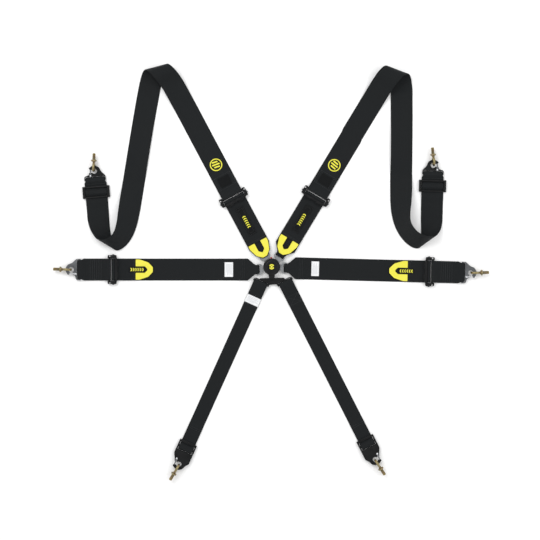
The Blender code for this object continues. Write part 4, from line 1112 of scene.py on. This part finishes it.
shoulder_left = Arm(118.1, (-0.104, 0.187))
shoulder_right = Arm(59.0, (0.118, 0.187))
lap_left = Arm(180.0, (-0.300, -0.0095))
lap_right = Arm(-1.46, (0.350, -0.0118))
crotch_left = Arm(245.7, (-0.050, -0.082))
crotch_right = Arm(-63.1, (0.062, -0.082))

build_buckle()
build_lap("left_lap", lap_left, 0.549, 0.468, 0.408, 0.660, -1, -2)
build_lap("right_lap", lap_right, 0.545, 0.468, 0.404, 0.656, 1, 3)
refined("t_bar", "crotch_body", 0.0005, [BLACK, DULL])
build_crotch("left_crotch", crotch_left, 0.066, 0.690, 1, -6)
build_crotch("right_crotch", crotch_right, 0.069, 0.692, -1, 6)

left_top = [((-0.2480, 0.4570, FIRST), 28.1, 0), ((-0.3080, 0.5690, 0.0050), 28.1, 0),
            ((-0.3480, 0.6380, 0.0250), 26.5, 0), ((-0.3695, 0.6640, 0.0440), 22.5, 0),
            ((-0.3840, 0.6775, 0.0455), 18.5, 0), ((-0.3950, 0.6835, 0.0310), 14.8, 0),
            ((-0.4035, 0.6780, 0.0155), 11, 0), ((-0.4105, 0.6600, 0.0060), 6, 0),
            ((-0.4170, 0.6330, 0.0020), 0, 0), ((-0.4260, 0.5850, FIRST), -9, 0)]
left_low = [((-0.4740, 0.2970, FIRST), -9, 0), ((-0.4835, 0.2370, 0.0055), -8.5, 6),
            ((-0.4908, 0.1850, 0.0145), -7.5, 19), ((-0.4980, 0.1430, 0.0215), -11, 30),
            ((-0.5090, 0.1110, 0.0265), -20, 38), ((-0.5250, 0.0885, 0.0285), -32, 42),
            ((-0.5440, 0.0765, 0.0290), -36, 39), ((-0.5640, 0.0755, 0.0230), -33, 28),
            ((-0.5780, 0.0925, 0.0100), -26.5, 12), ((-0.5890, 0.1190, 0.0035), -18, 3),
            ((-0.5955, 0.1520, FIRST), -7, 0), ((-0.5985, 0.1900, FIRST), 4.5, 0)]
left_end = Arm(94.5, (-0.5965, 0.165))
build_shoulder("left_shoulder", shoulder_left, left_end, 0.273, 0.098, 0.040, left_top, left_low,
               left_end.at(-0.606, 0.257), left_end.at(-0.607, 0.300), -1, -6)
right_top = [((0.2780, 0.4570, FIRST), -31, 0), ((0.3460, 0.5690, 0.005), -31, 0),
             ((0.3780, 0.6210, 0.022), -30.5, 0), ((0.4000, 0.6520, 0.041), -28, 0),
             ((0.4180, 0.6690, 0.0440), -24.5, 0), ((0.4320, 0.6725, 0.0300), -20.5, 0),
             ((0.4400, 0.6640, 0.0150), -15.5, 0), ((0.4440, 0.6440, 0.0060), -10, 0),
             ((0.4470, 0.6180, 0.0020), -4.5, 0), ((0.4475, 0.5730, FIRST), 0, 0)]
right_low = [((0.4460, 0.3200, FIRST), 0, 0), ((0.4450, 0.2620, 0.0085), 0, -11),
             ((0.4433, 0.2150, 0.0180), 2, -25), ((0.4430, 0.1800, 0.0260), 7, -39),
             ((0.4490, 0.1460, 0.0298), 18, -48), ((0.4655, 0.1160, 0.0300), 36, -49),
             ((0.4880, 0.0945, 0.0298), 44, -47), ((0.5110, 0.0845, 0.0285), 43.5, -41),
             ((0.5335, 0.0860, 0.0210), 38, -30), ((0.5450, 0.1045, 0.0095), 30, -14),
             ((0.5500, 0.1340, 0.0035), 18, -4), ((0.5512, 0.1700, FIRST), 6, 0),
             ((0.5519, 0.2080, FIRST), -1.3, 0)]
right_end = Arm(88.7, (0.5510, 0.170))
build_shoulder("right_shoulder", shoulder_right, right_end, 0.2875, 0.1135, 0.053, right_top, right_low,
               right_end.at(0.554, 0.278), right_end.at(0.554, 0.320), 1, 6)


# ---------------------------------------------------------------- floor, light and camera

floor_mesh = bpy.data.meshes.new("floor")
floor_corners = [(x * FLOOR_HALF, y * FLOOR_HALF, FLOOR_Z) for x, y in ((-1, -1), (1, -1), (1, 1), (-1, 1))]
floor_mesh.from_pydata(floor_corners, [], [(0, 1, 2, 3)])
floor = bpy.data.objects.new("floor", floor_mesh)
bpy.context.scene.collection.objects.link(floor)
pale = bpy.data.materials.new("pale_floor")
pale.use_nodes = True
pale.node_tree.nodes["Principled BSDF"].inputs["Base Color"].default_value = (0.97, 0.97, 0.97, 1)
pale.node_tree.nodes["Principled BSDF"].inputs["Roughness"].default_value = 0.9
floor_mesh.materials.append(pale)

world = bpy.data.worlds.new("studio")
bpy.context.scene.world = world
world.use_nodes = True
world.node_tree.nodes["Background"].inputs["Color"].default_value = (1.0, 1.0, 1.0, 1)
world.node_tree.nodes["Background"].inputs["Strength"].default_value = 0.86


def soft_box(name, spot, size, power):
    data = bpy.data.lights.new(name, "AREA")
    data.shape = "SQUARE"
    data.size = size
    data.energy = power
    lamp = bpy.data.objects.new(name, data)
    bpy.context.scene.collection.objects.link(lamp)
    lamp.location = spot
    lamp.rotation_euler = (-Vector(spot)).to_track_quat("-Z", "Y").to_euler()


soft_box("key_light", (-1.6, 1.8, 3.0), 1.8, 46)
soft_box("fill_light", (2.2, 0.4, 2.6), 2.2, 22)

camera_data = bpy.data.cameras.new("camera")
camera = bpy.data.objects.new("camera", camera_data)
bpy.context.scene.collection.objects.link(camera)
camera_data.lens = LENS
camera_data.sensor_width = SENSOR
camera.location = (-0.0058, -0.0110, 0.005 + VIEW_ACROSS * LENS / SENSOR)
camera.rotation_euler = (0, 0, 0)
bpy.context.scene.camera = camera
bpy.context.scene.view_settings.view_transform = "Standard"
